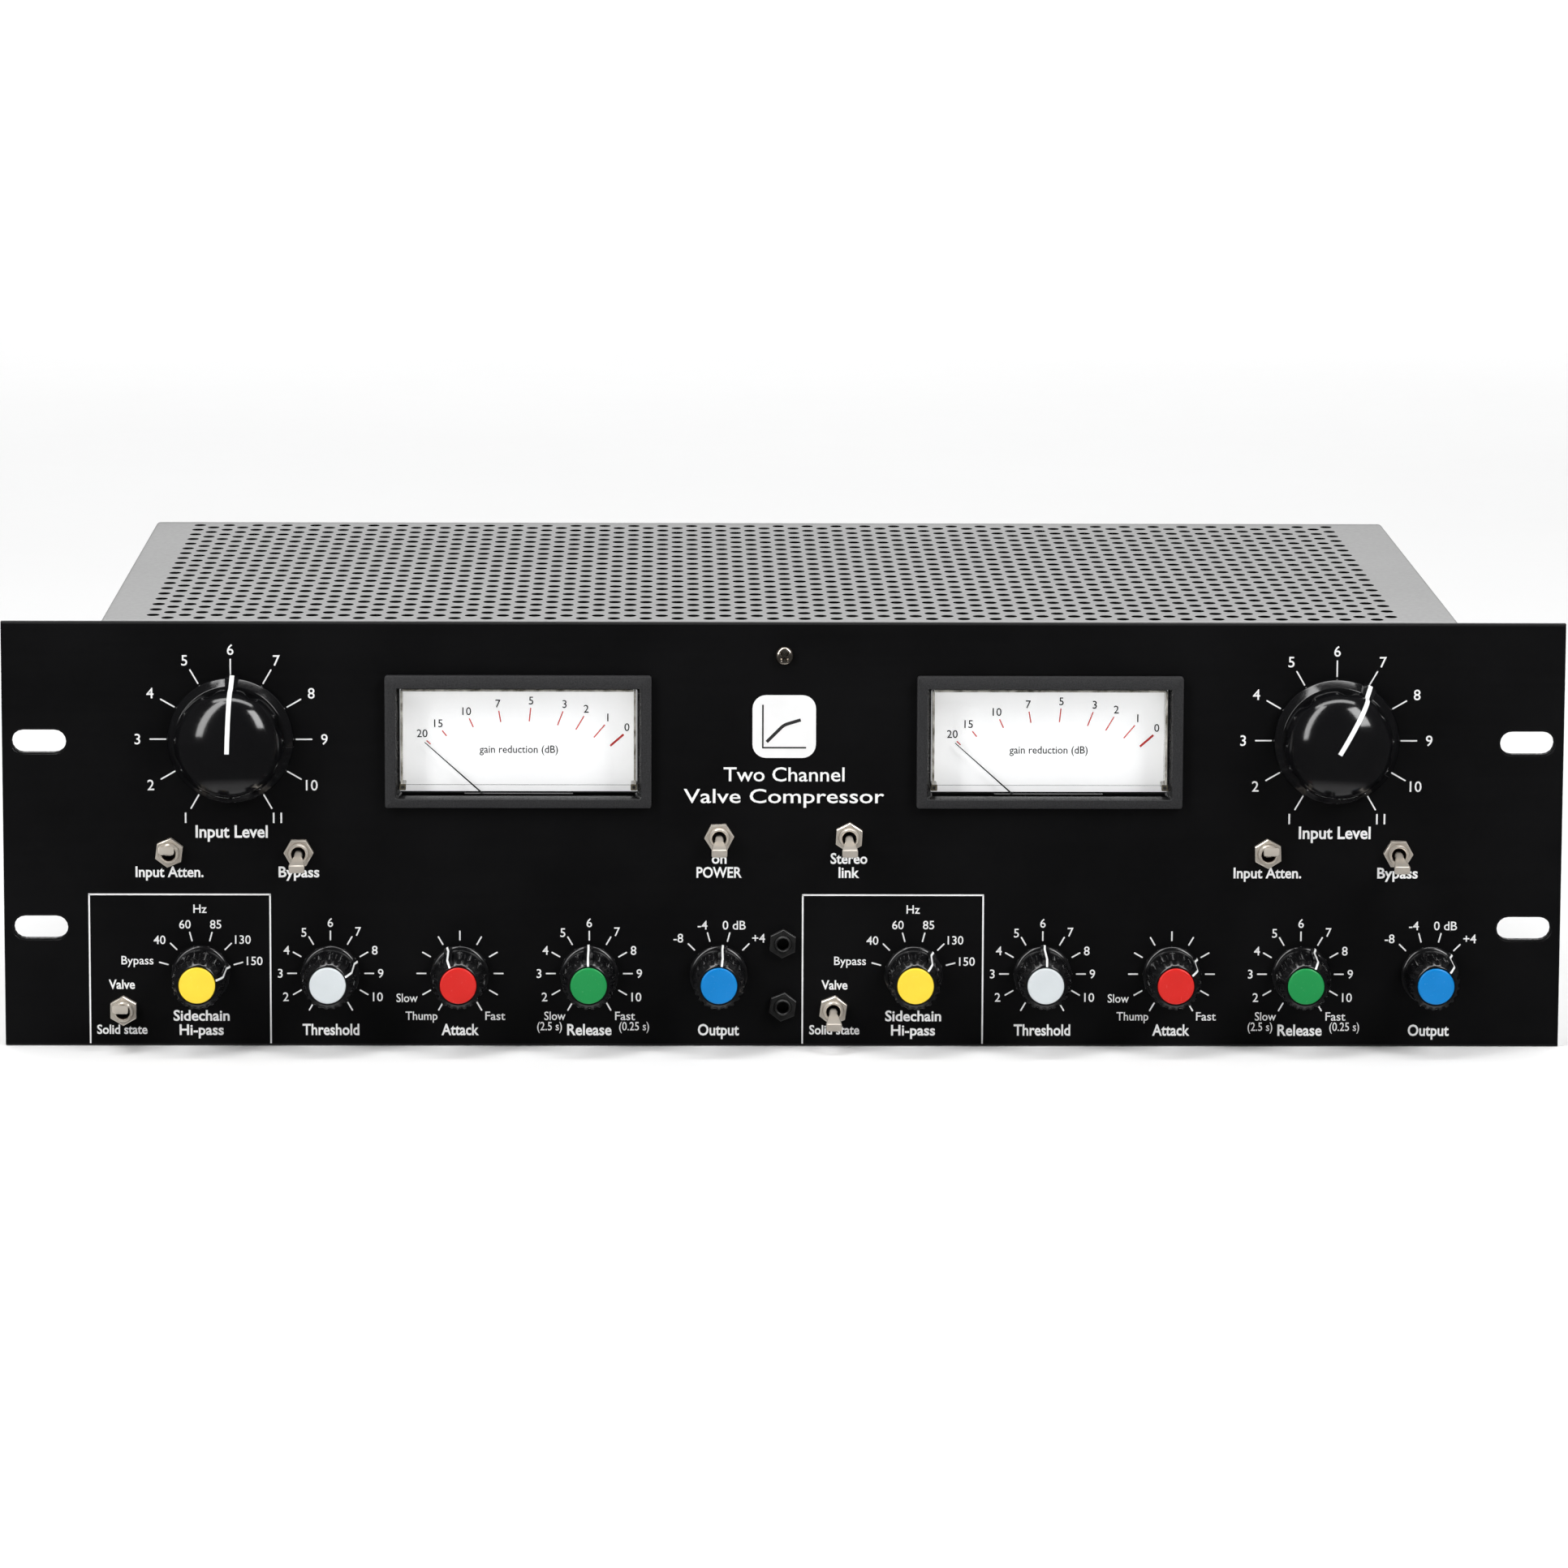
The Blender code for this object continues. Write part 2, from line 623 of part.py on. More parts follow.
def make_input_pots():
    """The large pots stand alone, each with a tag board on its back."""
    for name, x, z, _ in knob_places()[:2]:
        back = PANEL_THICK + GAP + 10 * MM
        side = name.rsplit("_", 1)[1]
        board = box_object(
            f"input_pot_{side}",
            (x - 15 * MM, back - 1 * MM, z - 15 * MM),
            (x + 15 * MM, back + 0.6 * MM, z + 15 * MM),
            "control_metal",
        )
        unite(board, pot_tool(name, x, z, 12 * MM, 9.5 * MM))


def make_control_boards():
    """One upright board behind each channel's row of small knobs, with its five pots."""
    for side in ("left", "right"):
        places = [place for place in knob_places()[2:] if place[0].endswith(side)]
        back = PANEL_THICK + GAP + 13 * MM
        board = box_object(
            f"control_board_{side}",
            (places[0][1] - 6.2 * MM, back - 1.6 * MM, SMALL_KNOB_Z - 14 * MM),
            (places[-1][1] + 6.1 * MM, back, SMALL_KNOB_Z + 16 * MM),
            "board_green",
        )
        for name, x, z, _ in places:
            unite(board, pot_tool(name, x, z, 5.5 * MM, 12 * MM))


def make_main_board():
    """The audio board on four pillars, with the two valve sockets standing on it."""
    board = box_object("main_board", BOARD_LOW, BOARD_HIGH, "board_green")
    for index, x in enumerate((BOARD_LOW[0] + PILLAR_INSET, BOARD_HIGH[0] - PILLAR_INSET)):
        for row, y in enumerate((BOARD_LOW[1] + PILLAR_INSET, BOARD_HIGH[1] - PILLAR_INSET)):
            pillar = box_object(
                f"tool_pillar_{index}_{row}",
                (x - PILLAR_HALF, y - PILLAR_HALF, FLOOR_TOP + GAP),
                (x + PILLAR_HALF, y + PILLAR_HALF, BOARD_HIGH[2] - 1 * MM),
            )
            unite(board, pillar)
    for name, x, y in VALVES:
        bm = bmesh.new()
        bmesh.ops.create_cone(
            bm, cap_ends=True, segments=20, radius1=SOCKET_RADIUS, radius2=SOCKET_RADIUS,
            depth=SOCKET_HEIGHT,
        )
        unite(board, finish_object(bm, f"tool_socket_{name}", None, (x, y, 17 * MM)))


def make_valves():
    """The two small glass valves, upright in their sockets."""
    points = ((0, 0), (10.2, 0), (10.2, 36), (8.5, 41), (3.0, 44), (1.6, 49), (0, 49.5))
    for name, x, y in VALVES:
        bm = bmesh.new()
        add_turned(bm, [(radius * MM, height * MM) for radius, height in points], 20)
        bmesh.ops.rotate(bm, verts=bm.verts, cent=(0, 0, 0), matrix=Matrix.Rotation(math.pi / 2, 3, "X"))
        finish_object(bm, f"valve_{name}", "valve_glass", (x, y, VALVE_Z), smooth=True)


def make_transformer():
    """A ring-wound mains transformer with its clamping dish and bolt, flat on the tray."""
    points = (
        (0, 0), (40, 0), (45, 5), (45, 37), (40, 42), (24, 42), (20, 40.5), (5, 40.5),
        (5, 45), (0, 45),
    )
    bm = bmesh.new()
    add_turned(bm, [(radius * MM, height * MM) for radius, height in points], 32)
    bmesh.ops.rotate(bm, verts=bm.verts, cent=(0, 0, 0), matrix=Matrix.Rotation(math.pi / 2, 3, "X"))
    place = (*TRANSFORMER_PLACE, FLOOR_TOP + GAP)
    finish_object(bm, "mains_transformer", "transformer_wrap", place, smooth=True)


# --- rear connectors ----------------------------------------------------------------------------
def make_connectors():
    """Four round connectors with square flanges: two with holes, two cups for pins."""
    flange_back = REAR_FACE + GAP
    for name, x, is_cup in CONNECTORS:
        flange = box_object(
            name, *frame_about(x, CONNECTOR_Z, XLR_FLANGE, flange_back, REAR_REACH), "socket_black"
        )
        shell = hole_tool(
            f"tool_shell_{name}", x, CONNECTOR_Z, XLR_HOLE, REAR_FACE - XLR_DEPTH,
            REAR_REACH - 1 * MM, steps=24,
        )
        unite(flange, shell)
        if is_cup:
            cup = hole_tool(
                f"tool_cup_{name}", x, CONNECTOR_Z, XLR_CUP, REAR_REACH - XLR_CUP_DEPTH,
                REAR_REACH + CUT, steps=24,
            )
            cut(flange, cup)


def make_mains_inlet():
    """The three-pole mains inlet: a flange, a body and the cavity that takes the plug."""
    flange_face = REAR_REACH - 0.2 * MM
    inlet = box_object(
        "mains_inlet",
        *frame_about(INLET_X, INLET_Z, INLET_FLANGE, REAR_FACE + GAP, flange_face),
        "socket_black",
    )
    body = frame_about(INLET_X, INLET_Z, INLET_BODY, REAR_FACE - 22 * MM, flange_face - 1 * MM)
    cavity = frame_about(INLET_X, INLET_Z, INLET_CAVITY, REAR_FACE - 14 * MM, REAR_REACH + CUT)
    unite(inlet, box_object("tool_inlet_body", *body))
    cut(inlet, box_object("tool_inlet_cavity", *cavity))


def make_fuse_holder():
    """The fuse holder: a barrel through the rear plate and its flanged cap."""
    points = (
        (0, 236), (5.5, 236), (FUSE_RADIUS / MM, 238), (FUSE_RADIUS / MM, 265.8), (7.8, 265.8),
        (7.8, 267.2), (6.5, 267.9), (0, 267.9),
    )
    profile = [(radius * MM, y * MM) for radius, y in points]
    turned_object("fuse_holder", profile, 20, "socket_black", (FUSE_X, 0, INLET_Z))


def main():
    """Build every piece."""
    make_front_panel()
    make_front_screw()
    make_tray()
    make_cover()
    make_rear_panel()
    make_input_knobs()
    make_small_knobs()
    make_toggles()
    make_jacks()
    for side, sign in (("left", -1), ("right", 1)):
        make_meter(side, sign * METER_X)
    make_input_pots()
    make_control_boards()
    make_main_board()
    make_valves()
    make_transformer()
    make_connectors()
    make_mains_inlet()
    make_fuse_holder()


clear_scene()
PANEL_EMPTY = bpy.data.objects.new("panel_face", None)
PANEL_EMPTY.location = (0, PANEL_FACE_Y, 0)
bpy.context.collection.objects.link(PANEL_EMPTY)
main()
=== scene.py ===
"""Looks of a three-unit, two-channel rack compressor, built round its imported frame.

Shapes are worked out in millimetres on the panel's own axes: x from the panel's middle to the
right, y behind the panel's face, z above its lower edge.  A Surface holds such points and its
faces, and becomes an object in metres, in the frame's axes, when it is built.
"""

import logging
import math
from dataclasses import dataclass, field
from enum import Enum
from typing import Callable, Iterable, Optional, Sequence

import bpy
import numpy as np
from mathutils import Matrix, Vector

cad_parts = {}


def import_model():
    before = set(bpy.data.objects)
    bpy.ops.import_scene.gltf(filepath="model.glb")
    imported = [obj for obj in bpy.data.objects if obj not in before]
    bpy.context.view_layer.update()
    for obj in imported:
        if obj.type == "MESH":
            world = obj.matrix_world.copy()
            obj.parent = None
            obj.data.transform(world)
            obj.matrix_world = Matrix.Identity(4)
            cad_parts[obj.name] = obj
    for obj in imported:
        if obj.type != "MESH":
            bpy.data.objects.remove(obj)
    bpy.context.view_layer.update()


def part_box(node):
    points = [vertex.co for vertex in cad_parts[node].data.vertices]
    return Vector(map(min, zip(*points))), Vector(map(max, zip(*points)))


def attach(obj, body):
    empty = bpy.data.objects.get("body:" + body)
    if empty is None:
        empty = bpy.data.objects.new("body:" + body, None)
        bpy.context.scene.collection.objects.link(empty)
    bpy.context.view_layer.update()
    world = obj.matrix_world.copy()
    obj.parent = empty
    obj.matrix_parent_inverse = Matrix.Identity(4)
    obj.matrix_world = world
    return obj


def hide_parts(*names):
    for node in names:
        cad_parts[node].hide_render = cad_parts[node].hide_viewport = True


LOG = logging.getLogger("rack_compressor")
MM = 0.001
ROOT = "unit"
FULL_TURN = 2 * math.pi
Array = np.ndarray
Colour = tuple[float, float, float]
Faces = list[tuple[int, ...]]
Profile = Sequence[tuple[float, float]]
Socket = bpy.types.NodeSocket


# --- surfaces -----------------------------------------------------------------------------------
@dataclass
class Surface:
    """Points in millimetres with faces over them."""

    points: Array
    faces: Faces

    def welded(self) -> "Surface":
        """Merge points that coincide and drop the faces that collapse.

        Returns:
            The surface with each place held by one point.
        """
        keys = np.round(self.points, 4)
        _, first, inverse = np.unique(keys, axis=0, return_index=True, return_inverse=True)
        inverse = inverse.reshape(-1)
        faces = []
        for face in self.faces:
            ring = [int(inverse[index]) for index in face]
            kept = [a for a, b in zip(ring, ring[1:] + ring[:1]) if a != b]
            if len(kept) > 2 and len(set(kept)) == len(kept):
                faces.append(tuple(kept))
        return Surface(self.points[first], faces)

    def outward(self) -> "Surface":
        """Turn a closed surface's faces out, by the sign of the volume they enclose.

        Returns:
            The surface with its faces pointing away from its inside.
        """
        corners = np.array(
            [(f[0], f[i], f[i + 1]) for f in self.faces for i in range(1, len(f) - 1)]
        )
        a, b, c = (self.points[corners[:, k]] for k in range(3))
        if np.einsum("ij,ij->i", a, np.cross(b, c)).sum() < 0:
            return Surface(self.points, [tuple(reversed(face)) for face in self.faces])
        return self

    def moved(self, x: float = 0.0, y: float = 0.0, z: float = 0.0) -> "Surface":
        """Return the surface shifted by three distances."""
        return Surface(self.points + np.array((x, y, z)), self.faces)

    def turned(self, axis: str, degrees: float) -> "Surface":
        """Return the surface turned about one of the axes by the right-hand rule."""
        matrix = np.array(Matrix.Rotation(math.radians(degrees), 3, axis))
        return Surface(self.points @ matrix.T, self.faces)

    @staticmethod
    def joined(parts: Iterable["Surface"]) -> "Surface":
        """Put several surfaces into one.

        Args:
            parts: the surfaces, which stay separate shells.

        Returns:
            One surface with all their points and faces.
        """
        points, faces, count = [], [], 0
        for part in parts:
            points.append(part.points)
            faces += [tuple(index + count for index in face) for face in part.faces]
            count += len(part.points)
        return Surface(np.vstack(points), faces)


def grid_faces(rows: int, columns: int, close_rows: bool, close_columns: bool) -> Faces:
    """Four-sided faces over a grid of points.

    Args:
        rows: how many rows of points there are.
        columns: how many points each row has.
        close_rows: whether the last row meets the first.
        close_columns: whether each row's last point meets its first.

    Returns:
        One face for each cell, as point numbers.
    """
    numbers = np.arange(rows * columns).reshape(rows, columns)
    if close_rows:
        numbers = np.vstack((numbers, numbers[:1]))
    if close_columns:
        numbers = np.hstack((numbers, numbers[:, :1]))
    cells = np.stack((numbers[:-1, :-1], numbers[:-1, 1:], numbers[1:, 1:], numbers[1:, :-1]), -1)
    return [tuple(cell) for cell in cells.reshape(-1, 4).tolist()]


def revolve(
    profile: Profile,
    steps: int,
    ripple: Optional[Callable[[Array, Array], Array]] = None,
) -> Surface:
    """Turn a profile about the Y axis.

    A point lies at (r sin a, y, r cos a), where a runs round the axis and r is the profile's
    radius plus what the ripple adds at that angle and depth.  A profile that starts and ends on
    the axis gives a closed shape.

    Args:
        profile: (radius, y) points.
        steps: how many points there are round the axis.
        ripple: gives the change of radius from the angle and the depth y, both as grids.

    Returns:
        The turned surface.
    """
    radius, depth = np.array(profile, float).T
    angle = np.linspace(0, FULL_TURN, steps, endpoint=False)
    grid_r = np.repeat(radius[:, None], steps, axis=1)
    grid_a = np.repeat(angle[None, :], len(radius), axis=0)
    grid_y = np.repeat(depth[:, None], steps, axis=1)
    if ripple is not None:
        grid_r = np.where(grid_r > 0, grid_r + ripple(grid_a, grid_y), 0)
    points = np.stack((grid_r * np.sin(grid_a), grid_y, grid_r * np.cos(grid_a)), -1)
    closed = radius[0] > 0 and radius[-1] > 0
    faces = grid_faces(len(radius), steps, closed, True)
    return Surface(points.reshape(-1, 3), faces).welded().outward()


def smooth_profile(points: Profile, per_span: int = 4) -> Profile:
    """A profile with more points on a curve through the given ones.

    Each span is a Catmull-Rom cubic: its slope at a point is half the step between the neighbours.

    Args:
        points: (radius, y) points that the curve passes through.
        per_span: how many points each span gives.

    Returns:
        The finer profile.
    """
    given = np.array(points, float)
    padded = np.vstack((given[:1], given, given[-1:]))
    t = np.linspace(0, 1, per_span, endpoint=False)[:, None]
    out = []
    for a, b, c, d in zip(padded, padded[1:], padded[2:], padded[3:]):
        out.append(
            0.5 * (2 * b + (c - a) * t + (2 * a - 5 * b + 4 * c - d) * t**2
                   + (3 * b - a - 3 * c + d) * t**3)
        )
    fine = np.vstack(out + [given[-1:]])
    return [(max(float(r), 0.0), float(y)) for r, y in fine]


def inset(outline: Array, distance: float) -> Array:
    """Move a closed outline's points inwards along their mitres.

    Args:
        outline: (x, z) points in order round the shape.
        distance: how far each side moves in; negative moves it out.

    Returns:
        The moved outline.
    """
    before, after = np.roll(outline, 1, axis=0), np.roll(outline, -1, axis=0)
    area = np.sum(outline[:, 0] * after[:, 1] - after[:, 0] * outline[:, 1])
    turn = 1.0 if area > 0 else -1.0

    def normals(step: Array) -> Array:
        """Unit normals of steps, to the inner side."""
        unit = step / np.linalg.norm(step, axis=1, keepdims=True)
        return turn * np.stack((-unit[:, 1], unit[:, 0]), -1)

    first, second = normals(outline - before), normals(after - outline)
    mitre = first + second
    return outline + distance * 2 * mitre / np.sum(mitre * mitre, axis=1, keepdims=True)


def rounded_outline(width: float, height: float, radius: float, steps: int = 4) -> Array:
    """A rectangle about the origin with quarter-circle corners.

    Args:
        width: its size along x.
        height: its size along z.
        radius: the corners' radius.
        steps: how many spans each corner has.

    Returns:
        (x, z) points in order round the shape.
    """
    turns = np.linspace(0, math.pi / 2, steps + 1)
    corners = []
    for index, (sx, sz) in enumerate(((1, 1), (-1, 1), (-1, -1), (1, -1))):
        angle = turns + index * math.pi / 2
        centre = np.array((sx * (width / 2 - radius), sz * (height / 2 - radius)))
        corners.append(centre + radius * np.stack((np.cos(angle), np.sin(angle)), -1))
    return np.vstack(corners)


def polygon_outline(sides: int, radius: float) -> Array:
    """A regular outline's (x, z) corners, the first of them straight up."""
    angle = np.linspace(0, FULL_TURN, sides, endpoint=False)
    return np.stack((radius * np.sin(angle), radius * np.cos(angle)), -1)


def stacked(layers: Sequence[tuple[Array, float]], hollow: bool = False) -> Surface:
    """Skin outlines that lie at given depths.

    Args:
        layers: (outline, y) pairs with as many points each, in order along the skin.
        hollow: joins the last outline to the first, as for a frame; otherwise both ends are capped.

    Returns:
        The closed surface.
    """
    count = len(layers[0][0])
    points = np.vstack(
        [np.stack((o[:, 0], np.full(count, y), o[:, 1]), -1) for o, y in layers]
    )
    faces = grid_faces(len(layers), count, hollow, True)
    if not hollow:
        last = (len(layers) - 1) * count
        faces += [tuple(range(count)[::-1]), tuple(range(last, last + count))]
    return Surface(points, faces).outward()


def slab(outline: Array, front: float, back: float, edge: float = 0.0) -> Surface:
    """An outline carried from front to back, with an optional chamfer round both faces."""
    if edge <= 0:
        return stacked(((outline, front), (outline, back)))
    small = inset(outline, edge)
    return stacked(
        ((small, front), (outline, front + edge), (outline, back - edge), (small, back))
    )


def beam(sections: Array) -> Surface:
    """Skin cross-sections of four corners each, and cap both ends.

    Args:
        sections: the corners, numbered by section, by corner and by axis.

    Returns:
        The closed beam.
    """
    count = 4 * len(sections)
    faces = grid_faces(len(sections), 4, False, True)
    faces += [(3, 2, 1, 0), tuple(range(count - 4, count))]
    return Surface(sections.reshape(-1, 3), faces).outward()


def ribbon(path: Profile, width: float, lift: float) -> Surface:
    """A strip along a path in the plane x = 0, with square sides.

    Each cross-section is a rectangle of the strip's width and twice its lift, square to the path.

    Args:
        path: (z, y) points.
        width: the strip's size along x.
        lift: how far it stands out of the path to either side.

    Returns:
        The closed strip.
    """
    line = np.array(path, float)
    step = np.gradient(line, axis=0)
    unit = step / np.linalg.norm(step, axis=1, keepdims=True)
    side = np.stack((-unit[:, 1], unit[:, 0]), -1) * lift
    half = width / 2
    rings = []
    for sx, sn in ((-1, -1), (1, -1), (1, 1), (-1, 1)):
        z, y = (line + sn * side).T
        rings.append(np.stack((np.full(len(line), sx * half), y, z), -1))
    return beam(np.stack(rings, axis=1))


def bar(x: float, z: float, width: float, height: float, front: float, back: float) -> Surface:
    """A plain bar about a point on the panel."""
    outline = rounded_outline(width, height, min(width, height) * 0.2, 2)
    return slab(outline, front, back).moved(x, 0, z)


def cross_recess(head: Surface, x: Array, z: Array, arm: tuple[float, float], fade: float,
                 depth: float, front: float) -> Surface:
    """Sink a cross into a screw's head, with sides that slope and arms that fade out.

    Args:
        head: the head, whose points are moved back.
        x: each point's place along one arm.
        z: each point's place along the other.
        arm: half an arm's width, and how far it reaches from the middle.
        fade: over what length an arm ends.
        depth: how deep the cross is at its middle.
        front: only points in front of this depth move.

    Returns:
        The same head.
    """
    across, along = np.minimum(abs(x), abs(z)), np.maximum(abs(x), abs(z))
    deep = np.clip((arm[0] - across) / 0.2, 0, 1) * np.clip((arm[1] - along) / fade, 0, 1)
    head.points[:, 1] += np.where(head.points[:, 1] < front, depth * deep, 0)
    return head


# --- finishes -----------------------------------------------------------------------------------
NOISE_LOW, NOISE_HIGH = 0.3, 0.7  # nearly all of a noise's values lie between these


class Nodes:
    """A short way to write one material's node tree."""

    def __init__(self, name: str) -> None:
        """Start a material that has a Principled shader only."""
        self.material = bpy.data.materials.new(name)
        self.material.use_nodes = True
        self.tree = self.material.node_tree
        self.shader = self.tree.nodes["Principled BSDF"]
        self.coordinates = self.tree.nodes.new("ShaderNodeTexCoord").outputs["Object"]

    def set(self, **values: object) -> None:
        """Set the shader's own sockets; an underscore in a name stands for a space."""
        for key, value in values.items():
            self.shader.inputs[key.replace("_", " ")].default_value = value

    def link(self, output: Socket, socket: str) -> None:
        """Feed one of the shader's sockets."""
        self.tree.links.new(output, self.shader.inputs[socket])

    def noise(self, scale: float, stretch: Colour = (1, 1, 1)) -> Socket:
        """Noise over the object's own coordinates, with four finer octaves.

        Args:
            scale: cells to the metre.
            stretch: a factor for each axis; a small one draws the grain out along it.

        Returns:
            The noise's value.
        """
        mapping = self.tree.nodes.new("ShaderNodeMapping")
        mapping.inputs["Scale"].default_value = stretch
        self.tree.links.new(self.coordinates, mapping.inputs["Vector"])
        texture = self.tree.nodes.new("ShaderNodeTexNoise")
        texture.inputs["Scale"].default_value = scale
        texture.inputs["Detail"].default_value = 4.0
        self.tree.links.new(mapping.outputs["Vector"], texture.inputs["Vector"])
        return texture.outputs["Fac"]

    def spread(self, value: Socket, low: float, high: float,
               start: float = NOISE_LOW, end: float = NOISE_HIGH) -> Socket:
        """Carry a value from one range to another.

        Args:
            value: what to carry.
            low: the result at the start of the range.
            high: the result at its end.
            start: the range's start.
            end: the range's end.

        Returns:
            The carried value, held within its ends.
        """
        node = self.tree.nodes.new("ShaderNodeMapRange")
        keys = ("From Min", "From Max", "To Min", "To Max")
        for key, number in zip(keys, (start, end, low, high)):
            node.inputs[key].default_value = number
        self.tree.links.new(value, node.inputs["Value"])
        return node.outputs["Result"]

    def ramp(self, value: Socket, low: Colour, high: Colour) -> Socket:
        """Turn a noise's value into a colour between two.

        Args:
            value: what to read.
            low: the colour at the start.
            high: the colour at the end.

        Returns:
            The colour.
        """
        node = self.tree.nodes.new("ShaderNodeValToRGB")
        ends = ((NOISE_LOW, low), (NOISE_HIGH, high))
        for element, (place, colour) in zip(node.color_ramp.elements, ends):
            element.position = place
            element.color = (*colour, 1.0)
        self.tree.links.new(value, node.inputs["Fac"])
        return node.outputs["Color"]

    def bump(self, value: Socket, height: float) -> None:
        """Raise the surface by a value.

        Args:
            value: the height, from 0 to 1.
            height: what 1 stands for, in metres.
        """
        node = self.tree.nodes.new("ShaderNodeBump")
        node.inputs["Distance"].default_value = height
        node.inputs["Strength"].default_value = 1.0
        self.tree.links.new(value, node.inputs["Height"])
        self.link(node.outputs["Normal"], "Normal")


@dataclass(frozen=True)
class Finish:
    """A finish: two shades, a range of roughness, a grain and what it is made of."""

    name: str
    dark: Colour
    light: Colour
    roughness: tuple[float, float] = (0.3, 0.4)
    metallic: float = 0.0
    grain: float = 900.0
    stretch: Colour = (1.0, 1.0, 1.0)
    bump: float = 0.0
    coat: float = 0.0
    specular: float = 0.5
    mottle: float = 60.0
    alpha: float = 1.0
    edge_alpha: float = 1.0
    # painted light: emission of the base shade, standing in for light from behind the part
    glow: float = 0.0

    def material(self) -> bpy.types.Material:
        """Make the finish's material, or find it if it is made.

        A slow noise mixes the two shades, a fine one moves the roughness, and the same fine noise
        raises the surface.  A clear finish hides less where it is seen square on, and one with a
        painted glow gives off its own shade as emission: painted light that no lamp casts.

        Returns:
            The material.
        """
        made = bpy.data.materials.get(self.name)
        if made is not None:
            return made
        nodes = Nodes(self.name)
        slow = nodes.noise(self.mottle)
        fine = nodes.noise(self.grain, self.stretch)
        shade = nodes.ramp(slow, self.dark, self.light)
        nodes.link(shade, "Base Color")
        # painted glow: the base shade is also given off as emission
        if self.glow > 0:
            nodes.link(shade, "Emission Color")
            nodes.set(Emission_Strength=self.glow)
        nodes.link(nodes.spread(fine, *self.roughness), "Roughness")
        nodes.set(
            Metallic=self.metallic, Coat_Weight=self.coat, Specular_IOR_Level=self.specular
        )
        if self.bump > 0:
            nodes.bump(fine, self.bump)
        if self.alpha < 1:
            weight = nodes.tree.nodes.new("ShaderNodeLayerWeight")
            weight.inputs["Blend"].default_value = 0.35
            hidden = nodes.spread(weight.outputs["Fresnel"], self.alpha, self.edge_alpha, 0.0, 0.8)
            nodes.link(hidden, "Alpha")
        return nodes.material


def grey(level: float) -> Colour:
    """A neutral colour."""
    return (level, level, level)


PANEL_BLACK = Finish("panel_anodised", (0.0035, 0.0035, 0.0038), (0.0052, 0.0052, 0.0056),
                     (0.36, 0.50), 0.0, 900.0, (0.02, 1.0, 1.0), 4e-6, specular=0.075, mottle=30.0)
STEEL_GREY = Finish("case_steel", grey(0.225), grey(0.25), (0.42, 0.54), 0.2, 700.0,
                    (1.0, 1.0, 1.0), 6e-6, mottle=9.0)
# Near-black glossy walls in the cover's holes: painted shade that makes the holes read dark; their
# glints come from the lamps.
HOLE_WALL_SHADE = Finish("hole_wall_painted_shade", grey(0.012), grey(0.028), (0.12, 0.2), 0.9, 1500.0, bump=4e-6,
                      mottle=500.0)
BAKELITE = Finish("knob_gloss", (0.0025, 0.0025, 0.003), (0.004, 0.004, 0.0045), (0.10, 0.16),
                  0.0, 1400.0, bump=1e-6, specular=0.5)
KNOB_SATIN = Finish("knob_flutes", (0.003, 0.003, 0.0035), (0.006, 0.006, 0.0065), (0.12, 0.22),
                    0.0, 1600.0, bump=2e-6, specular=0.5)
POINTER_WHITE = Finish("pointer_white", grey(0.80), grey(0.86), (0.30, 0.42), grain=3000.0,
                       bump=4e-6)
INK_WHITE = Finish("legend_ink", grey(0.82), grey(0.88), (0.45, 0.6), grain=5000.0, bump=3e-6)
INK_DARK = Finish("scale_ink", grey(0.014), grey(0.026), (0.5, 0.62), grain=5000.0, bump=2e-6)
INK_RED = Finish("scale_red", (0.70, 0.09, 0.085), (0.78, 0.12, 0.11), (0.5, 0.62), grain=5000.0,
                 bump=2e-6)
INK_CRIMSON = Finish("scale_crimson", (0.62, 0.030, 0.030), (0.68, 0.045, 0.04), (0.5, 0.62),
                     grain=5000.0, bump=2e-6)
NICKEL = Finish("bright_nickel", (0.74, 0.675, 0.59), (0.82, 0.755, 0.67), (0.17, 0.24), 0.55,
                1200.0, bump=2e-7, mottle=160.0)
SCREW_STEEL = Finish("screw_nickel", (0.30, 0.27, 0.235), (0.42, 0.38, 0.33), (0.14, 0.26), 1.0,
                     2400.0, bump=5e-6, mottle=600.0)
BRASS = Finish("brass_pins", (0.55, 0.38, 0.15), (0.68, 0.50, 0.24), (0.2, 0.34), 1.0, 2000.0,
               bump=4e-6, mottle=500.0)
COPPER = Finish("copper_contact", (0.55, 0.24, 0.12), (0.70, 0.34, 0.2), (0.25, 0.4), 1.0, 2000.0,
                bump=4e-6, mottle=500.0)
# Near-black brown lining in the toggles' bores: painted shade in the recess.
BORE_SHADE = Finish("bushing_bore_painted_shade", (0.012, 0.006, 0.004), (0.03, 0.014, 0.008), (0.3, 0.5), 0.0,
                    1500.0, bump=6e-6, mottle=400.0)
BEZEL_BLACK = Finish("bezel_texture", (0.011, 0.011, 0.012), (0.034, 0.034, 0.036), (0.42, 0.6),
                     0.0, 2600.0, bump=5e-5, specular=0.5, mottle=2200.0)
BEZEL_SLOPE = Finish("bezel_inside", (0.006, 0.006, 0.0065), (0.011, 0.011, 0.0115), (0.24, 0.36),
                     0.0, 2200.0, bump=6e-6, mottle=700.0)
MOULDED_BLACK = Finish("moulded_black", (0.010, 0.010, 0.010), (0.016, 0.016, 0.016), (0.34, 0.5),
                       0.0, 2200.0, bump=1.2e-5, mottle=500.0)
# The card's emission is painted backlight, which also lifts it out of the bezel's shade.
DIAL_WHITE = Finish("dial_card_painted_glow", (0.84, 0.845, 0.85), (0.87, 0.875, 0.88), (0.5, 0.62), 0.0, 3000.0,
                    bump=2e-6, mottle=40.0, glow=0.42)
CLEAR = Finish("clear_moulding", grey(0.03), grey(0.05), (0.02, 0.05), 0.0, 700.0, bump=1e-6,
               specular=0.8, alpha=0.015, edge_alpha=0.12)
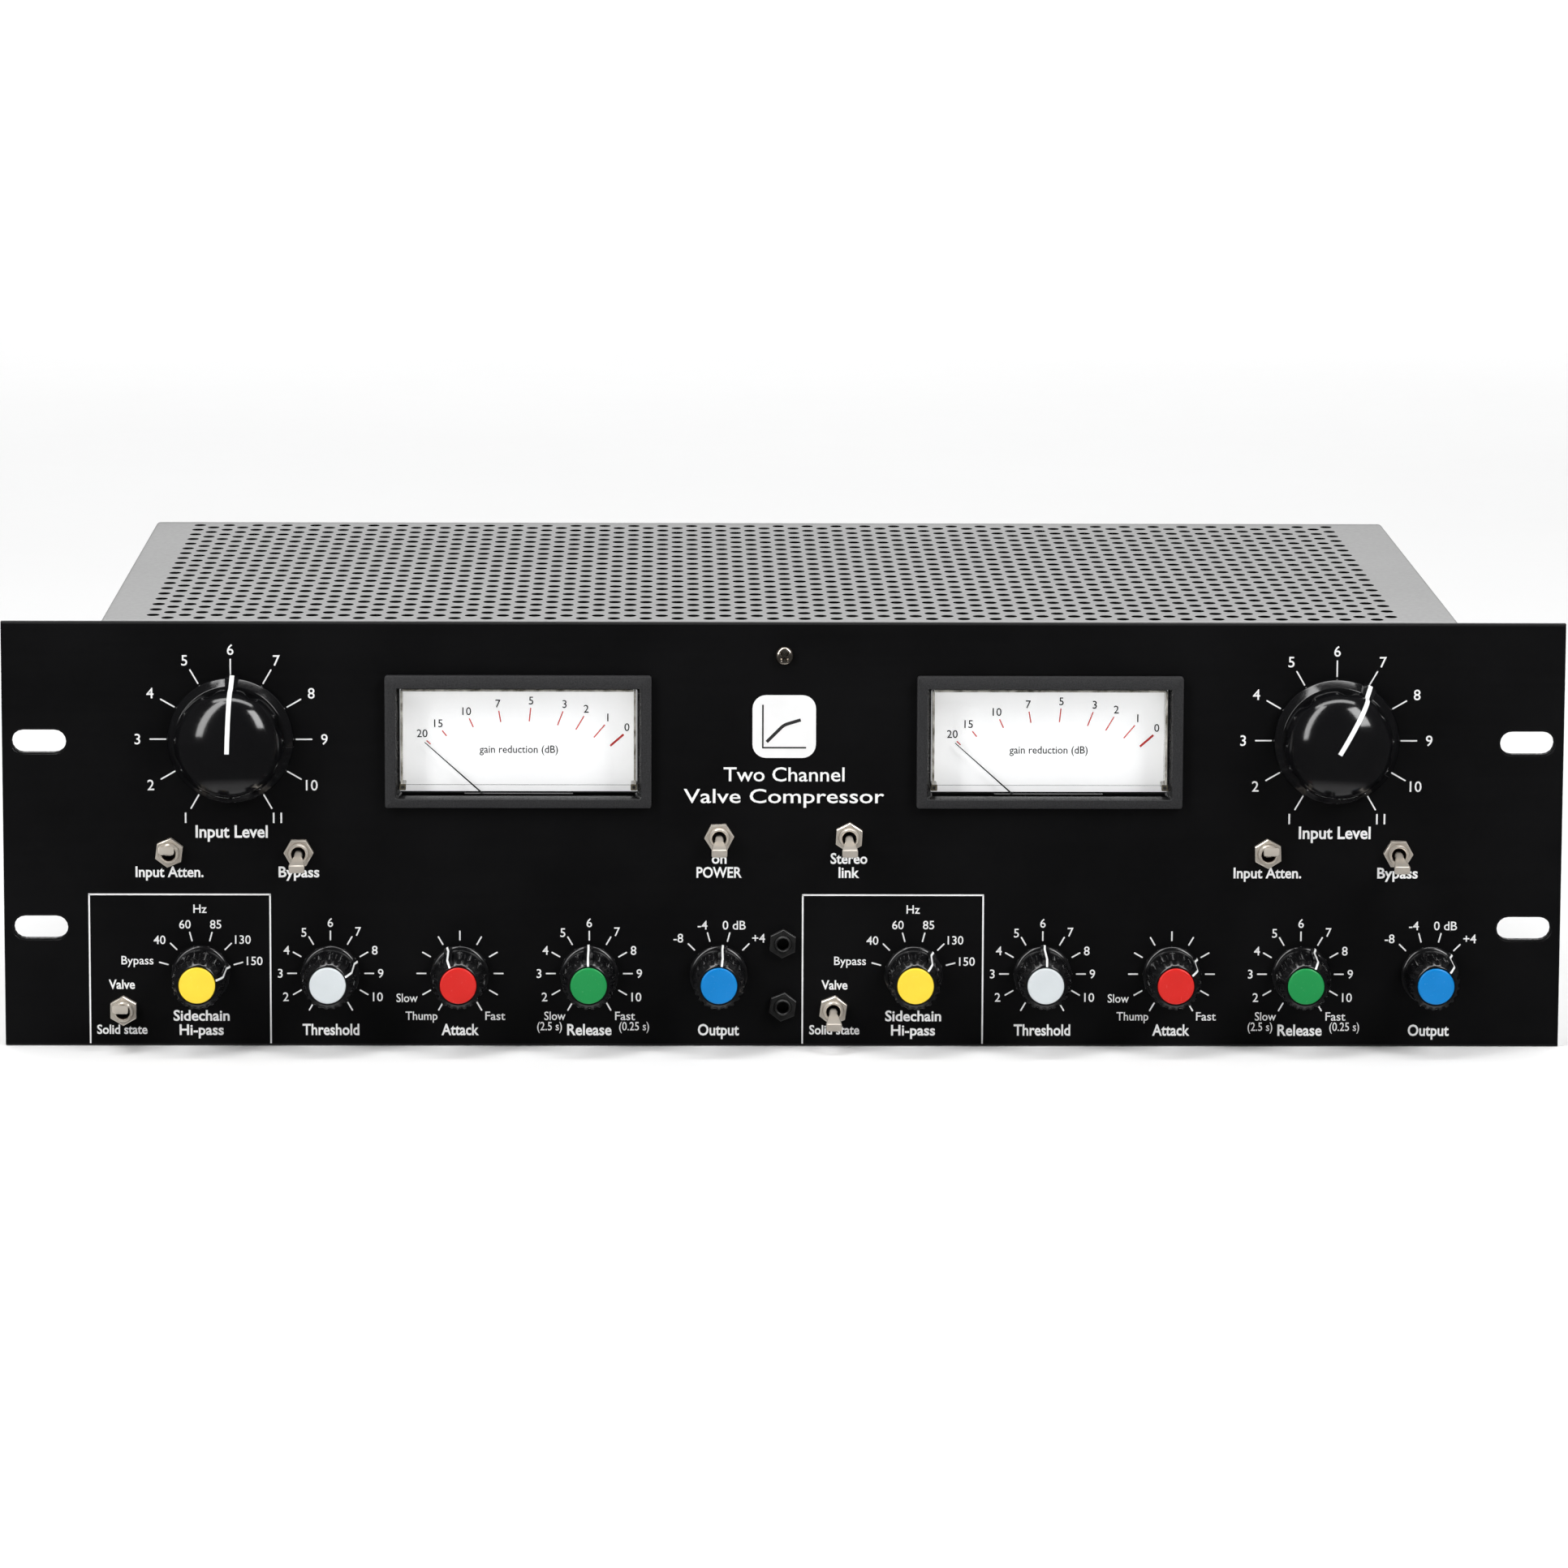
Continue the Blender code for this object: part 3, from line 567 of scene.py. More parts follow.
# The clear ribs seen edge on, painted opaque in streaks from dark brown to pale: painted reflection
# of light in clear plastic.
CLEAR_EDGE_PAINTED_LIGHT = Finish("clear_edge_painted_light", (0.10, 0.09, 0.065), (0.62, 0.60, 0.55), (0.05, 0.14), 0.0, 500.0,
                    stretch=(0.3, 0.4, 1.0), bump=8e-6, mottle=300.0)
CLEAR_SHADE = Finish("clear_shade", (0.06, 0.052, 0.036), (0.16, 0.14, 0.10), (0.05, 0.14), 0.0,
                     500.0, bump=6e-6, mottle=220.0)
BOARD_GREEN = Finish("solder_resist", (0.008, 0.06, 0.022), (0.014, 0.09, 0.035), (0.25, 0.4), 0.0,
                     1200.0, bump=6e-6, mottle=500.0)
WINDING_WRAP = Finish("winding_film", (0.42, 0.30, 0.06), (0.55, 0.42, 0.12), (0.15, 0.3), 0.0,
                      300.0, bump=6e-5, coat=0.4, mottle=120.0)
POT_METAL = Finish("pressed_metal", grey(0.42), grey(0.55), (0.28, 0.42), 1.0, 1500.0, bump=6e-6,
                   mottle=300.0)
VALVE_GLASS = Finish("valve_glass", grey(0.75), grey(0.85), (0.02, 0.06), 0.0, 500.0, bump=1e-6,
                     alpha=0.14, edge_alpha=0.9)
SLEEVE_BLUE = Finish("capacitor_sleeve", (0.01, 0.03, 0.12), (0.015, 0.05, 0.18), (0.2, 0.32),
                     0.0, 900.0, bump=4e-6, coat=0.3)
RESISTOR_TAN = Finish("resistor_body", (0.45, 0.32, 0.18), (0.55, 0.40, 0.25), (0.35, 0.5), 0.0,
                      1800.0, bump=6e-6, mottle=800.0)
# A grey much lighter than the black panel: painted highlight along the slots' broken edges.
SLOT_EDGE_PAINTED_HIGHLIGHT = Finish("slot_edges_painted_highlight", grey(0.05), grey(0.12), (0.22, 0.36), 0.6, 1800.0, bump=5e-6,
                   mottle=500.0)
FLOOR_PALE = Finish("floor_pale", grey(0.86), grey(0.88), (0.55, 0.65), grain=40.0, mottle=2.0)


def cap_finish(name: str, colour: Colour) -> Finish:
    """The glossy moulding of a coloured cap, a little lighter in places."""
    lighter = tuple(min(channel * 1.06 + 0.004, 1.0) for channel in colour)
    return Finish(f"cap_{name}", colour, lighter, (0.18, 0.28), 0.0, 1500.0, bump=2e-6,
                  specular=0.35, mottle=120.0)


# --- making objects -----------------------------------------------------------------------------
@dataclass
class Workshop:
    """Turns surfaces into objects that ride on the frame."""

    face_y: float
    count: int = 0

    def build(
        self,
        name: str,
        shape: Surface | Sequence[Surface],
        finish: Finish,
        slot: str,
        body: str = ROOT,
        replaces: Sequence[str] = (),
        smooth: Optional[float] = 35.0,
        at: tuple[float, float, float] = (0.0, 0.0, 0.0),
    ) -> bpy.types.Object:
        """Make one piece.

        Args:
            name: the piece's name.
            shape: its surface, or the surfaces that it joins, on the panel's axes.
            finish: what it is made of.
            slot: a material slot's name; not used.
            body: the body it rides on.
            replaces: the nodes it stands for.
            smooth: the angle in degrees past which an edge stays sharp, or None for flat faces.
            at: how far the shape is moved from where it is drawn.

        Returns:
            The object, at the origin, with its place in its mesh.
        """
        surface = (shape if isinstance(shape, Surface) else Surface.joined(shape)).moved(*at)
        mesh = bpy.data.meshes.new(name)
        points = surface.points * MM + np.array((0.0, self.face_y, 0.0))
        mesh.from_pydata(points.tolist(), [], surface.faces)
        mesh.update()
        if smooth is not None:
            mesh.shade_smooth()
            mesh.set_sharp_from_angle(angle=math.radians(smooth))
        mesh.materials.append(finish.material())
        item = bpy.data.objects.new(name, mesh)
        bpy.context.collection.objects.link(item)
        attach(item, body)
        if replaces:
            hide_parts(*replaces)
        self.count += 1
        LOG.info("%s rides on %s", name, body)
        return item

    def dress(self, finish: Finish, *nodes: str) -> None:
        """Give nodes of the frame one finish in place of their own."""
        for node in nodes:
            materials = bpy.data.objects[node].data.materials
            materials.clear()
            materials.append(finish.material())


@dataclass
class Lettering:
    """Sets words as thin printed surfaces on the panel's axes."""

    weight_regular: float = 0.007
    weight_bold: float = 0.021
    cap_share: float = field(init=False, default=0.0)

    def __post_init__(self) -> None:
        """Measure how tall a capital is at size 1."""
        flat = self._outline("H", 0.0)
        self.cap_share = float(np.ptp(flat[0][:, 1]))

    def _outline(self, words: str, weight: float) -> tuple[Array, Faces]:
        """Fill one line of text at size 1.

        Args:
            words: the text.
            weight: how far its outline is spread.

        Returns:
            Its flat (x, y) points and its faces.
        """
        curve = bpy.data.curves.new("words", "FONT")
        curve.body = words
        curve.offset = weight
        curve.resolution_u = 3
        item = bpy.data.objects.new("words", curve)
        bpy.context.collection.objects.link(item)
        bpy.context.view_layer.update()
        mesh = item.evaluated_get(bpy.context.evaluated_depsgraph_get()).to_mesh()
        flat = np.empty(len(mesh.vertices) * 3)
        mesh.vertices.foreach_get("co", flat)
        faces = [tuple(polygon.vertices) for polygon in mesh.polygons]
        points = flat.reshape(-1, 3)[:, :2].copy()
        bpy.data.objects.remove(item, do_unlink=True)
        bpy.data.curves.remove(curve)
        return points, faces

    def line(
        self,
        words: str,
        x: float,
        z: float,
        cap: float,
        y: float,
        width: Optional[float] = None,
        bold: bool = False,
        mirrored: bool = False,
    ) -> Surface:
        """One centred line of text.

        Args:
            words: the text.
            x: its middle.
            z: its baseline.
            cap: the height of its capitals.
            y: the depth of the surface it is printed on.
            width: its whole width, or None for the letters' own.
            bold: whether it is set heavy.
            mirrored: whether it is read from behind.

        Returns:
            Its surface, which faces the front unless it is mirrored.
        """
        flat, faces = self._outline(words, self.weight_bold if bold else self.weight_regular)
        tall = cap / self.cap_share
        middle = (flat[:, 0].min() + flat[:, 0].max()) / 2
        wide = tall if width is None else width / float(np.ptp(flat[:, 0]))
        along = (flat[:, 0] - middle) * wide * (-1 if mirrored else 1)
        points = np.stack((x + along, np.full(len(flat), y), z + flat[:, 1] * tall), -1)
        return facing(Surface(points, faces), 1.0 if mirrored else -1.0)


def facing(surface: Surface, sign: float) -> Surface:
    """Turn each flat face so that it looks along plus or minus Y."""
    faces = []
    for face in surface.faces:
        a, b, c = (surface.points[index] for index in face[:3])
        faces.append(face if np.cross(b - a, c - a)[1] * sign >= 0 else tuple(reversed(face)))
    return Surface(surface.points, faces)


class Side(Enum):
    """The two channels."""

    LEFT = "left"
    RIGHT = "right"

    @property
    def sign(self) -> int:
        """-1 on the left and 1 on the right."""
        return -1 if self is Side.LEFT else 1


# --- front panel --------------------------------------------------------------------------------
INK_FRONT = -0.03  # the face of the print, in front of the panel's
INK_BACK = 0.02  # where solid print ends, just inside the panel


@dataclass
class Panel:
    """The 19-inch panel with its slot rims and its screw."""

    shop: Workshop
    slot_x: float = 229.9
    slot_levels: tuple[float, float] = (37.2, 95.4)
    slot_size: tuple[float, float] = (16.8, 7.2)
    rim: float = 0.45
    screw_z: float = 122.4

    def build(self) -> None:
        """Dress the panel and add its rims and screw."""
        self.shop.dress(PANEL_BLACK, "front_panel")
        rims = [
            self.slot_rim().moved(sign * self.slot_x, 0, z)
            for sign in (-1, 1) for z in self.slot_levels
        ]
        # the rims' lighter grey is painted highlight
        self.shop.build("rack_slot_rims", rims, SLOT_EDGE_PAINTED_HIGHLIGHT, "panel_black")
        self.build_screw()

    def slot_rim(self) -> Surface:
        """The broken edge round one slot: a thin ring that leans into the hole."""
        hole = rounded_outline(*self.slot_size, self.slot_size[1] / 2 - 0.001, 12)
        outer = inset(hole, -self.rim)
        return stacked(((outer, 0.05), (outer, -0.02), (hole, 0.35), (inset(hole, 0.02), 2.8),
                        (inset(hole, -0.05), 2.8), (inset(hole, -0.05), 0.5)), hollow=True)

    def build_screw(self) -> None:
        """A pan head with a cross recess whose depth falls off along each arm."""
        profile = smooth_profile(((0, -0.05), (2.6, -0.05), (2.9, -0.5), (2.75, -1.25), (2.2, -1.8),
                                  (1.2, -2.1), (0, -2.2)), 5)
        head = revolve(profile, 96)
        x, z = head.points[:, 0], head.points[:, 2]
        cross_recess(head, (x + z) / math.sqrt(2), (z - x) / math.sqrt(2), (0.42, 1.75), 0.5,
                     1.1, -1.5)
        self.shop.build("front_screw_head", head, SCREW_STEEL, "screw_dark",
                        replaces=("front_screw",), at=(0, 0, self.screw_z))


@dataclass
class DialScale:
    """The printed ticks and figures round one knob."""

    angles: tuple[float, ...]
    tick_from: float
    tick_to: float
    figures: tuple[tuple[str, float, float], ...]
    cap: float
    tick_width: float = 0.45

    def surfaces(self, letters: Lettering, x: float, z: float) -> list[Surface]:
        """Make the print about a knob's middle.

        Args:
            letters: sets the figures.
            x: the knob's middle.
            z: the knob's height.

        Returns:
            One surface for each tick and figure.
        """
        length = self.tick_to - self.tick_from
        out = []
        for angle in self.angles:
            tick = slab(rounded_outline(self.tick_width, length, 0.12, 1), INK_FRONT, INK_BACK)
            tick = tick.moved(0, 0, self.tick_from + length / 2).turned("Y", angle)
            out.append(tick.moved(x, 0, z))
        for words, dx, dz in self.figures:
            out.append(letters.line(words, x + dx, z + dz - self.cap / 2, self.cap, INK_FRONT))
        return out


def figures_round(names: Sequence[str], angles: Sequence[float], radius: float,
                  spread: float = 0.0) -> tuple[tuple[str, float, float], ...]:
    """Figures at angles about a middle, those to the side a little further out.

    Args:
        names: the figures.
        angles: their angles clockwise from up, in degrees.
        radius: how far out they are.
        spread: how much further a figure at the side is.

    Returns:
        (figure, x, z) for each.
    """
    out = []
    for name, angle in zip(names, angles):
        turn = math.radians(angle)
        reach = radius + spread * abs(math.sin(turn))
        out.append((name, reach * math.sin(turn), reach * math.cos(turn)))
    return tuple(out)


ROUND_ANGLES = tuple(range(-150, 151, 30))
INPUT_SCALE = DialScale(
    ROUND_ANGLES, 19.9, 25.1,
    figures_round([str(n) for n in range(1, 12)], ROUND_ANGLES, 27.9, 0.9), 3.2,
)
ROUND_SCALE = DialScale(
    ROUND_ANGLES, 10.4, 13.5,
    (("2", -13.9, -7.4), ("3", -15.6, 0.0), ("4", -13.6, 7.3), ("5", -8.2, 12.9), ("6", 0.0, 16.0),
     ("7", 8.6, 13.2), ("8", 13.7, 7.3), ("9", 15.5, 0.0), ("10", 14.6, -7.4)), 2.7,
)
ATTACK_SCALE = DialScale(ROUND_ANGLES, 10.4, 13.5, (), 2.7)
SIDECHAIN_SCALE = DialScale(
    (-75, -45, -15, 15, 45, 75), 10.4, 13.5,
    (("60", -4.9, 15.4), ("85", 4.6, 15.4), ("40", -12.8, 10.5), ("130", 13.0, 10.6),
     ("150", 16.6, 3.9), ("Bypass", -19.7, 4.1), ("Hz", -0.2, 20.3)), 2.6,
)
OUTPUT_SCALE = DialScale(
    (-45, -15, 15, 45), 10.4, 13.5,
    (("-8", -12.5, 11.2), ("-4", -5.0, 15.3), ("0 dB", 4.8, 15.3), ("+4", 12.4, 11.2)), 2.7,
)


# words, the control they stand under and how far to its right, baseline, capitals, width, bold
CHANNEL_WORDS = (
    ("Threshold", 1, 0.0, 3.3, 3.4, 17.6, True), ("Attack", 2, 0.0, 3.3, 3.4, 11.6, True),
    ("Release", 3, 0.0, 3.3, 3.4, 13.8, True), ("Output", 4, 0.0, 3.3, 3.4, 12.8, True),
    ("Sidechain", 0, 0.0, 7.8, 3.2, 17.4, True), ("Hi-pass", 0, 0.0, 3.3, 3.2, 13.7, True),
    ("Thump", 2, -12.0, 8.06, 2.6, 9.9, False), ("Slow", 2, -16.45, 13.7, 2.6, 6.6, False),
    ("Fast", 2, 10.9, 8.06, 2.6, 6.2, False), ("Slow", 3, -10.7, 8.06, 2.6, 6.6, False),
    ("(2.5 s)", 3, -12.35, 4.8, 2.6, 7.7, False), ("Fast", 3, 11.1, 8.06, 2.6, 6.2, False),
    ("(0.25 s)", 3, 13.9, 4.8, 2.6, 9.3, False),
)
# words, where their middles are, baseline, capitals, width
SWITCH_WORDS = (
    ("Input Atten.", (-190.0, 150.0), 53.0, 3.2, 21.0),
    ("Bypass", (-150.0, 190.4), 53.0, 3.2, 12.6),
    ("Valve", (-205.1, 15.9), 17.8, 2.8, 8.1),
    ("Solid state", (-205.1, 15.9), 3.6, 2.8, 15.6),
    ("on", (-20.0,), 57.4, 3.2, 4.6), ("POWER", (-20.0,), 53.0, 3.2, 14.0),
    ("Stereo", (20.2,), 57.4, 3.2, 11.4), ("link", (20.2,), 53.0, 3.2, 6.4),
)


@dataclass
class Legends:
    """Everything printed in white on the panel."""

    shop: Workshop
    letters: Lettering
    row_z: float = 22.7
    pitch: float = 40.1
    first_x: tuple[float, float] = (-180.5, 40.4)
    input_x: float = 170.7
    input_z: float = 96.1
    frame_top: float = 47.5
    frame_line: float = 0.5
    frame_foot: float = 0.6
    emblem_z: float = 100.3

    def build(self) -> None:
        """Print both channels, the switches' names and the middle."""
        for side in Side:
            self.build_channel(side)
        self.build_switch_names()
        self.build_emblem()

    def text(self, words: str, x: float, z: float, cap: float, width: Optional[float] = None,
             bold: bool = False) -> Surface:
        """One line printed on the panel."""
        return self.letters.line(words, x, z, cap, INK_FRONT, width, bold)

    def build_channel(self, side: Side) -> None:
        """Print one channel's scales, names and frame.

        Args:
            side: which channel.
        """
        first = self.first_x[0 if side is Side.LEFT else 1]
        xs = [first + self.pitch * index for index in range(5)]
        scales = (SIDECHAIN_SCALE, ROUND_SCALE, ATTACK_SCALE, ROUND_SCALE, OUTPUT_SCALE)
        parts: list[Surface] = []
        for x, scale in zip(xs, scales):
            parts += scale.surfaces(self.letters, x, self.row_z)
        parts += INPUT_SCALE.surfaces(self.letters, side.sign * self.input_x, self.input_z)
        parts.append(self.text("Input Level", side.sign * self.input_x, 65.4, 3.7, 22.3, True))
        parts += [self.text(words, xs[control] + dx, *rest)
                  for words, control, dx, *rest in CHANNEL_WORDS]
        parts += self.frame(xs[0])
        self.shop.build(f"legend_{side.value}", parts, INK_WHITE, "panel_black", smooth=None)

    def frame(self, knob_x: float) -> list[Surface]:
        """The white frame round a sidechain control, open at the panel's lower edge."""
        left, right = knob_x - 34.45, knob_x + 21.5
        line, foot, tall = self.frame_line, self.frame_foot, self.frame_top - self.frame_foot
        wide = right - left + line
        return [
            *(bar(x, foot + tall / 2, line, tall, INK_FRONT, INK_BACK) for x in (left, right)),
            bar((left + right) / 2, self.frame_top, wide, line, INK_FRONT, INK_BACK),
        ]

    def build_switch_names(self) -> None:
        """Print the names of the toggle switches."""
        parts = [self.text(words, x, *rest, True) for words, xs, *rest in SWITCH_WORDS for x in xs]
        self.shop.build("legend_switches", parts, INK_WHITE, "panel_black", smooth=None)

    def build_emblem(self) -> None:
        """A plain tile with a compression curve on it, over two generic lines of text."""
        tile = slab(rounded_outline(19.6, 19.6, 4.2, 6), INK_FRONT * 2, INK_BACK)
        words = [
            tile.moved(0, 0, self.emblem_z),
            self.text("Two Channel", 0, 83.2, 4.3, 37.4),
            self.text("Valve Compressor", 0, 76.4, 4.3, 62.0),
        ]
        self.shop.build("legend_middle", words, INK_WHITE, "panel_black", smooth=None)
        self.shop.build("legend_curve", self.knee_curve(), INK_DARK, "panel_black", smooth=None,
                        at=(0, 0, self.emblem_z))

    def knee_curve(self) -> Surface:
        """A line that climbs at 45 degrees, bends over a soft knee and goes on at a third of that.

        The bend is a circle's arc between the two straight stretches, and axes stand to its left
        and below it.
        """
        start, end = math.radians(45), math.radians(17)
        bend = np.linspace(start, end, 9)
        arc = 5.0 * np.stack((math.sin(start) - np.sin(bend), np.cos(bend) - math.cos(start)), -1)
        tail = arc[-1] + 4.2 * np.array((math.cos(end), math.sin(end)))
        path = np.vstack(((-4.4, -4.4), arc, tail))
        path = path - np.array((1.0, 0.4))
        step = np.gradient(path, axis=0)
        unit = step / np.linalg.norm(step, axis=1, keepdims=True)
        side = 0.5 * np.stack((-unit[:, 1], unit[:, 0]), -1)
        outline = np.vstack((path + side, (path - side)[::-1]))
        front, back = INK_FRONT * 3, INK_FRONT
        axes = [bar(-6.6, 0, 0.5, 13.6, front, back), bar(0, -6.6, 13.6, 0.5, front, back)]
        count = len(path)
        strip = stacked(((outline, front), (outline, back)))
        strip.faces[-2:] = []
        for layer in (0, 2 * count):
            for index in range(count - 1):
                far = 2 * count - 1 - index
                strip.faces.append(tuple(layer + n for n in (index, index + 1, far - 1, far)))
        return Surface.joined([facing(strip, -1.0), *axes])


# --- knobs --------------------------------------------------------------------------------------
@dataclass(frozen=True)
class Place:
    """Where a moving control is and how it stands at rest."""

    body: str
    x: float
    z: float
    rest: float


@dataclass
class Knob:
    """What the large and the small knobs share: a place, and pieces that turn with it."""

    shop: Workshop
    place: Place

    def make(self, part: str, surface: Surface, finish: Finish, stands_in: bool = False) -> None:
        """Build a piece on the knob's body, turned to its rest angle.

        Args:
            part: what the piece is, for its name.
            surface: its shape, with the knob's middle at the origin.
            finish: what it is made of.
            stands_in: whether it stands for the knob's node.
        """
        body = self.place.body
        self.shop.build(f"{body}_{part}", surface.turned("Y", self.place.rest), finish,
                        "knob_black", body, (body,) if stands_in else (),
                        at=(self.place.x, 0, self.place.z))


@dataclass
class InputKnob(Knob):
    """A large knob: skirt, sloping band, notched dome and a raised pointer with a white line."""

    skirt: float = 19.5
    grip: float = 16.8
    brow: float = 11.5
    reach: float = 21.88
    notches: int = 8
    notch_depth: float = 1.0
    notch_width: float = 6.0
    line_width: float = 1.4

    def dome(self) -> Profile:
        """The dome's profile: a wall that leans in a little, then a quarter of an ellipse."""
        climb = np.linspace(math.pi / 2, 0, 28)
        tall = self.reach - self.brow
        over = [(self.grip * math.sin(a), -self.brow - tall * math.cos(a)) for a in climb]
        return [(self.grip + 0.15, -5.6), *over[:-1], (0.0, -self.reach)]

    def build(self) -> None:
        """Make the knob's three pieces, turned to their place."""
        skirt_rows = [(0.0, -1.0), (self.skirt - 0.4, -1.0), (self.skirt, -1.4), (self.skirt, -2.7),
                      (self.skirt - 0.12, -3.05), (self.skirt - 0.4, -3.3)]
        skirt_rows += [(17.3, -5.45), (17.1, -5.6), (16.2, -5.65), (0.0, -5.65)]
        skirt = revolve(skirt_rows, 160)
        dome = self.dome()
        base = revolve([(0.0, -5.3), (self.grip, -5.3), *dome], 360, self.ripple)
        self.make("body", Surface.joined([skirt, base, self.pointer()]), BAKELITE, True)
        self.make("line", self.white_line(dome), POINTER_WHITE)
        seam = ribbon(((19.52, -1.6), (19.52, -2.8), (17.3, -5.45)), 0.16, 0.03)
        self.make("seam", seam.turned("Y", 94), MOULDED_BLACK)

    def ripple(self, angle: Array, depth: Array) -> Array:
        """Narrow notches: bells of the angle from each one's middle, which fade over the dome."""
        pitch = FULL_TURN / self.notches
        away = np.degrees(angle % pitch - pitch / 2)
        fade = np.clip((depth + 15.0) / 3.5, 0, 1)
        return -self.notch_depth * np.exp(-((away / self.notch_width) ** 2)) * fade

    def pointer(self) -> Surface:
        """The raised rib on the band, which widens towards the rim and leans with it."""
        rows = []
        foot = -1.2
        for z, y, half in ((15.2, -9.0, 1.7), (17.2, -8.6, 1.8), (19.5, -4.9, 2.1),
                           (20.3, -3.2, 2.1)):
            wide = half * 1.2
            rows.append([(-half, y, z), (half, y, z), (wide, foot, z), (-wide, foot, z)])
        return beam(np.array(rows))

    def white_line(self, dome: Profile) -> Surface:
        """The line over the dome, from just below its middle to the end of the pointer."""
        over = [(r, y) for r, y in reversed(dome) if y < -11.0]
        path = [(-1.4, 0.05 - self.reach), *over, (16.9, -9.6), (17.25, -8.6), (19.52, -4.9),
                (20.27, -3.2)]
        return ribbon(path, self.line_width, 0.07)


class CapColour(Enum):
    """The colours of the small knobs' caps."""

    YELLOW = (0.92, 0.66, 0.045)
    WHITE = (0.62, 0.66, 0.68)
    RED = (0.62, 0.018, 0.014)
    GREEN = (0.012, 0.26, 0.066)
    BLUE = (0.002, 0.20, 0.56)

    def finish(self) -> Finish:
        """The cap's finish."""
        return cap_finish(self.name.lower(), self.value)


@dataclass
class SmallKnob(Knob):
    """A small collet knob: skirt, fluted grip, coloured cap and white line."""

    colour: CapColour
    skirt: float = 9.2
    grip: float = 8.2
    cap: float = 5.6
    flutes: int = 21
    flute_depth: float = 0.34

    def build(self) -> None:
        """Make the skirt and grip with the pointer's bar, the cap and the line."""
        skirt = revolve(
            ((0, -1.0), (8.9, -1.0), (self.skirt, -1.25), (self.skirt, -2.45), (9.1, -2.75),
             (8.4, -3.35), (8.2, -3.4), (0, -3.4)), 96,
        )
        sides = [(self.grip - 0.2 * k / 12, -3.5 - 14.6 * k / 12) for k in range(13)]
        rows = [(0.0, -3.2), (self.grip, -3.2), *sides, (7.88, -18.45), (7.4, -19.2),
                (6.75, -20.1), (6.3, -20.65), (6.1, -20.8), (5.85, -20.8), (5.75, -20.6),
                (5.75, -20.2), (0.0, -20.2)]
        grip = revolve(rows, self.flutes * 12, self.ripple)
        path = ((self.skirt, -1.5), (self.skirt, -2.5), (8.95, -2.95), (8.45, -3.45), (8.2, -4.0),
                (8.02, -18.0), (7.86, -18.5), (7.4, -19.25), (6.35, -20.7), (6.0, -20.85))
        bar_on_side = ribbon(path[:-1], 2.9, 0.14)
        self.make("body", Surface.joined([skirt, grip, bar_on_side]), KNOB_SATIN, True)
        self.make("cap", self.cap_surface(), self.colour.finish())
        self.make("line", ribbon(path, 0.62, 0.2), POINTER_WHITE)

    def ripple(self, angle: Array, depth: Array) -> Array:
        """Square flutes: a steepened sine of the angle, over the grip's front and its slope."""
        wave = np.clip(0.5 - 2.2 * np.cos(self.flutes * angle), 0, 1)
        window = np.clip((-8.6 - depth) / 0.8, 0, 1) * np.clip((depth + 20.2) / 1.4, 0, 1)
        return -self.flute_depth * wave * window

    def cap_surface(self) -> Surface:
        """The cap: a low disc with a rounded rim and a barely hollowed face."""
        rim = [
            (self.cap - 0.6 * (1 - math.cos(turn)), -21.05 - 0.43 * math.sin(turn))
            for turn in np.linspace(0, math.pi / 2, 6)
        ]
        rows = [(0.0, -20.1), (self.cap, -20.1), *rim, (3.5, -21.45), (0.0, -21.42)]
        return revolve(rows, 72)


# --- toggles and jacks --------------------------------------------------------------------------
def threaded(radius: float, bore: float, back: float, front: float, pitch: float) -> Surface:
    """A bored collar with a ridged outside.

    The outside's radius rises and falls as a triangle wave along the axis.

    Args:
        radius: the ridges' outer radius.
        bore: the hole's radius.
        back: the depth where it starts.
        front: the depth of its mouth.
        pitch: from one ridge to the next.

    Returns:
        The closed collar.
    """
    turns = int((back - front - 0.5) / pitch)
    rows = [(bore, back), (radius, back)]
    for index in range(turns * 2):
        rows.append((radius - (0.16 if index % 2 else 0.0), back - 0.2 - index * pitch / 2))
    rows += [(radius - 0.1, front + 0.25), (radius - 0.35, front), (bore + 0.25, front),
             (bore, front + 0.25)]
    return revolve(rows, 48)


def nut(across_flats: float, bore: float, front: float, back: float, turn: float) -> Surface:
    """A hexagonal nut with a thin chamfer round its front.

    Its outline's distance from the axis is half its width over the cosine of the angle from the
    nearest flat's middle.

    Args:
        across_flats: its width over two flats.
        bore: its hole's radius.
        front: the depth of its front face.
        back: the depth of its back face.
        turn: the angle of one corner from up, in degrees.

    Returns:
        The closed nut.
    """
    around = np.linspace(0, FULL_TURN, 72, endpoint=False)
    reach = across_flats / 2 / np.cos(around % (math.pi / 3) - math.pi / 6)
    direction = np.stack((np.sin(around), np.cos(around)), -1)
    outer = direction * reach[:, None]
    faced = direction * (reach - 0.25)[:, None]
    return stacked((
        (direction * bore, back), (outer, back), (outer, front + 0.2), (faced, front),
        (direction * (bore + 0.2), front), (direction * bore, front + 0.25),
    ), hollow=True).turned("Y", turn)


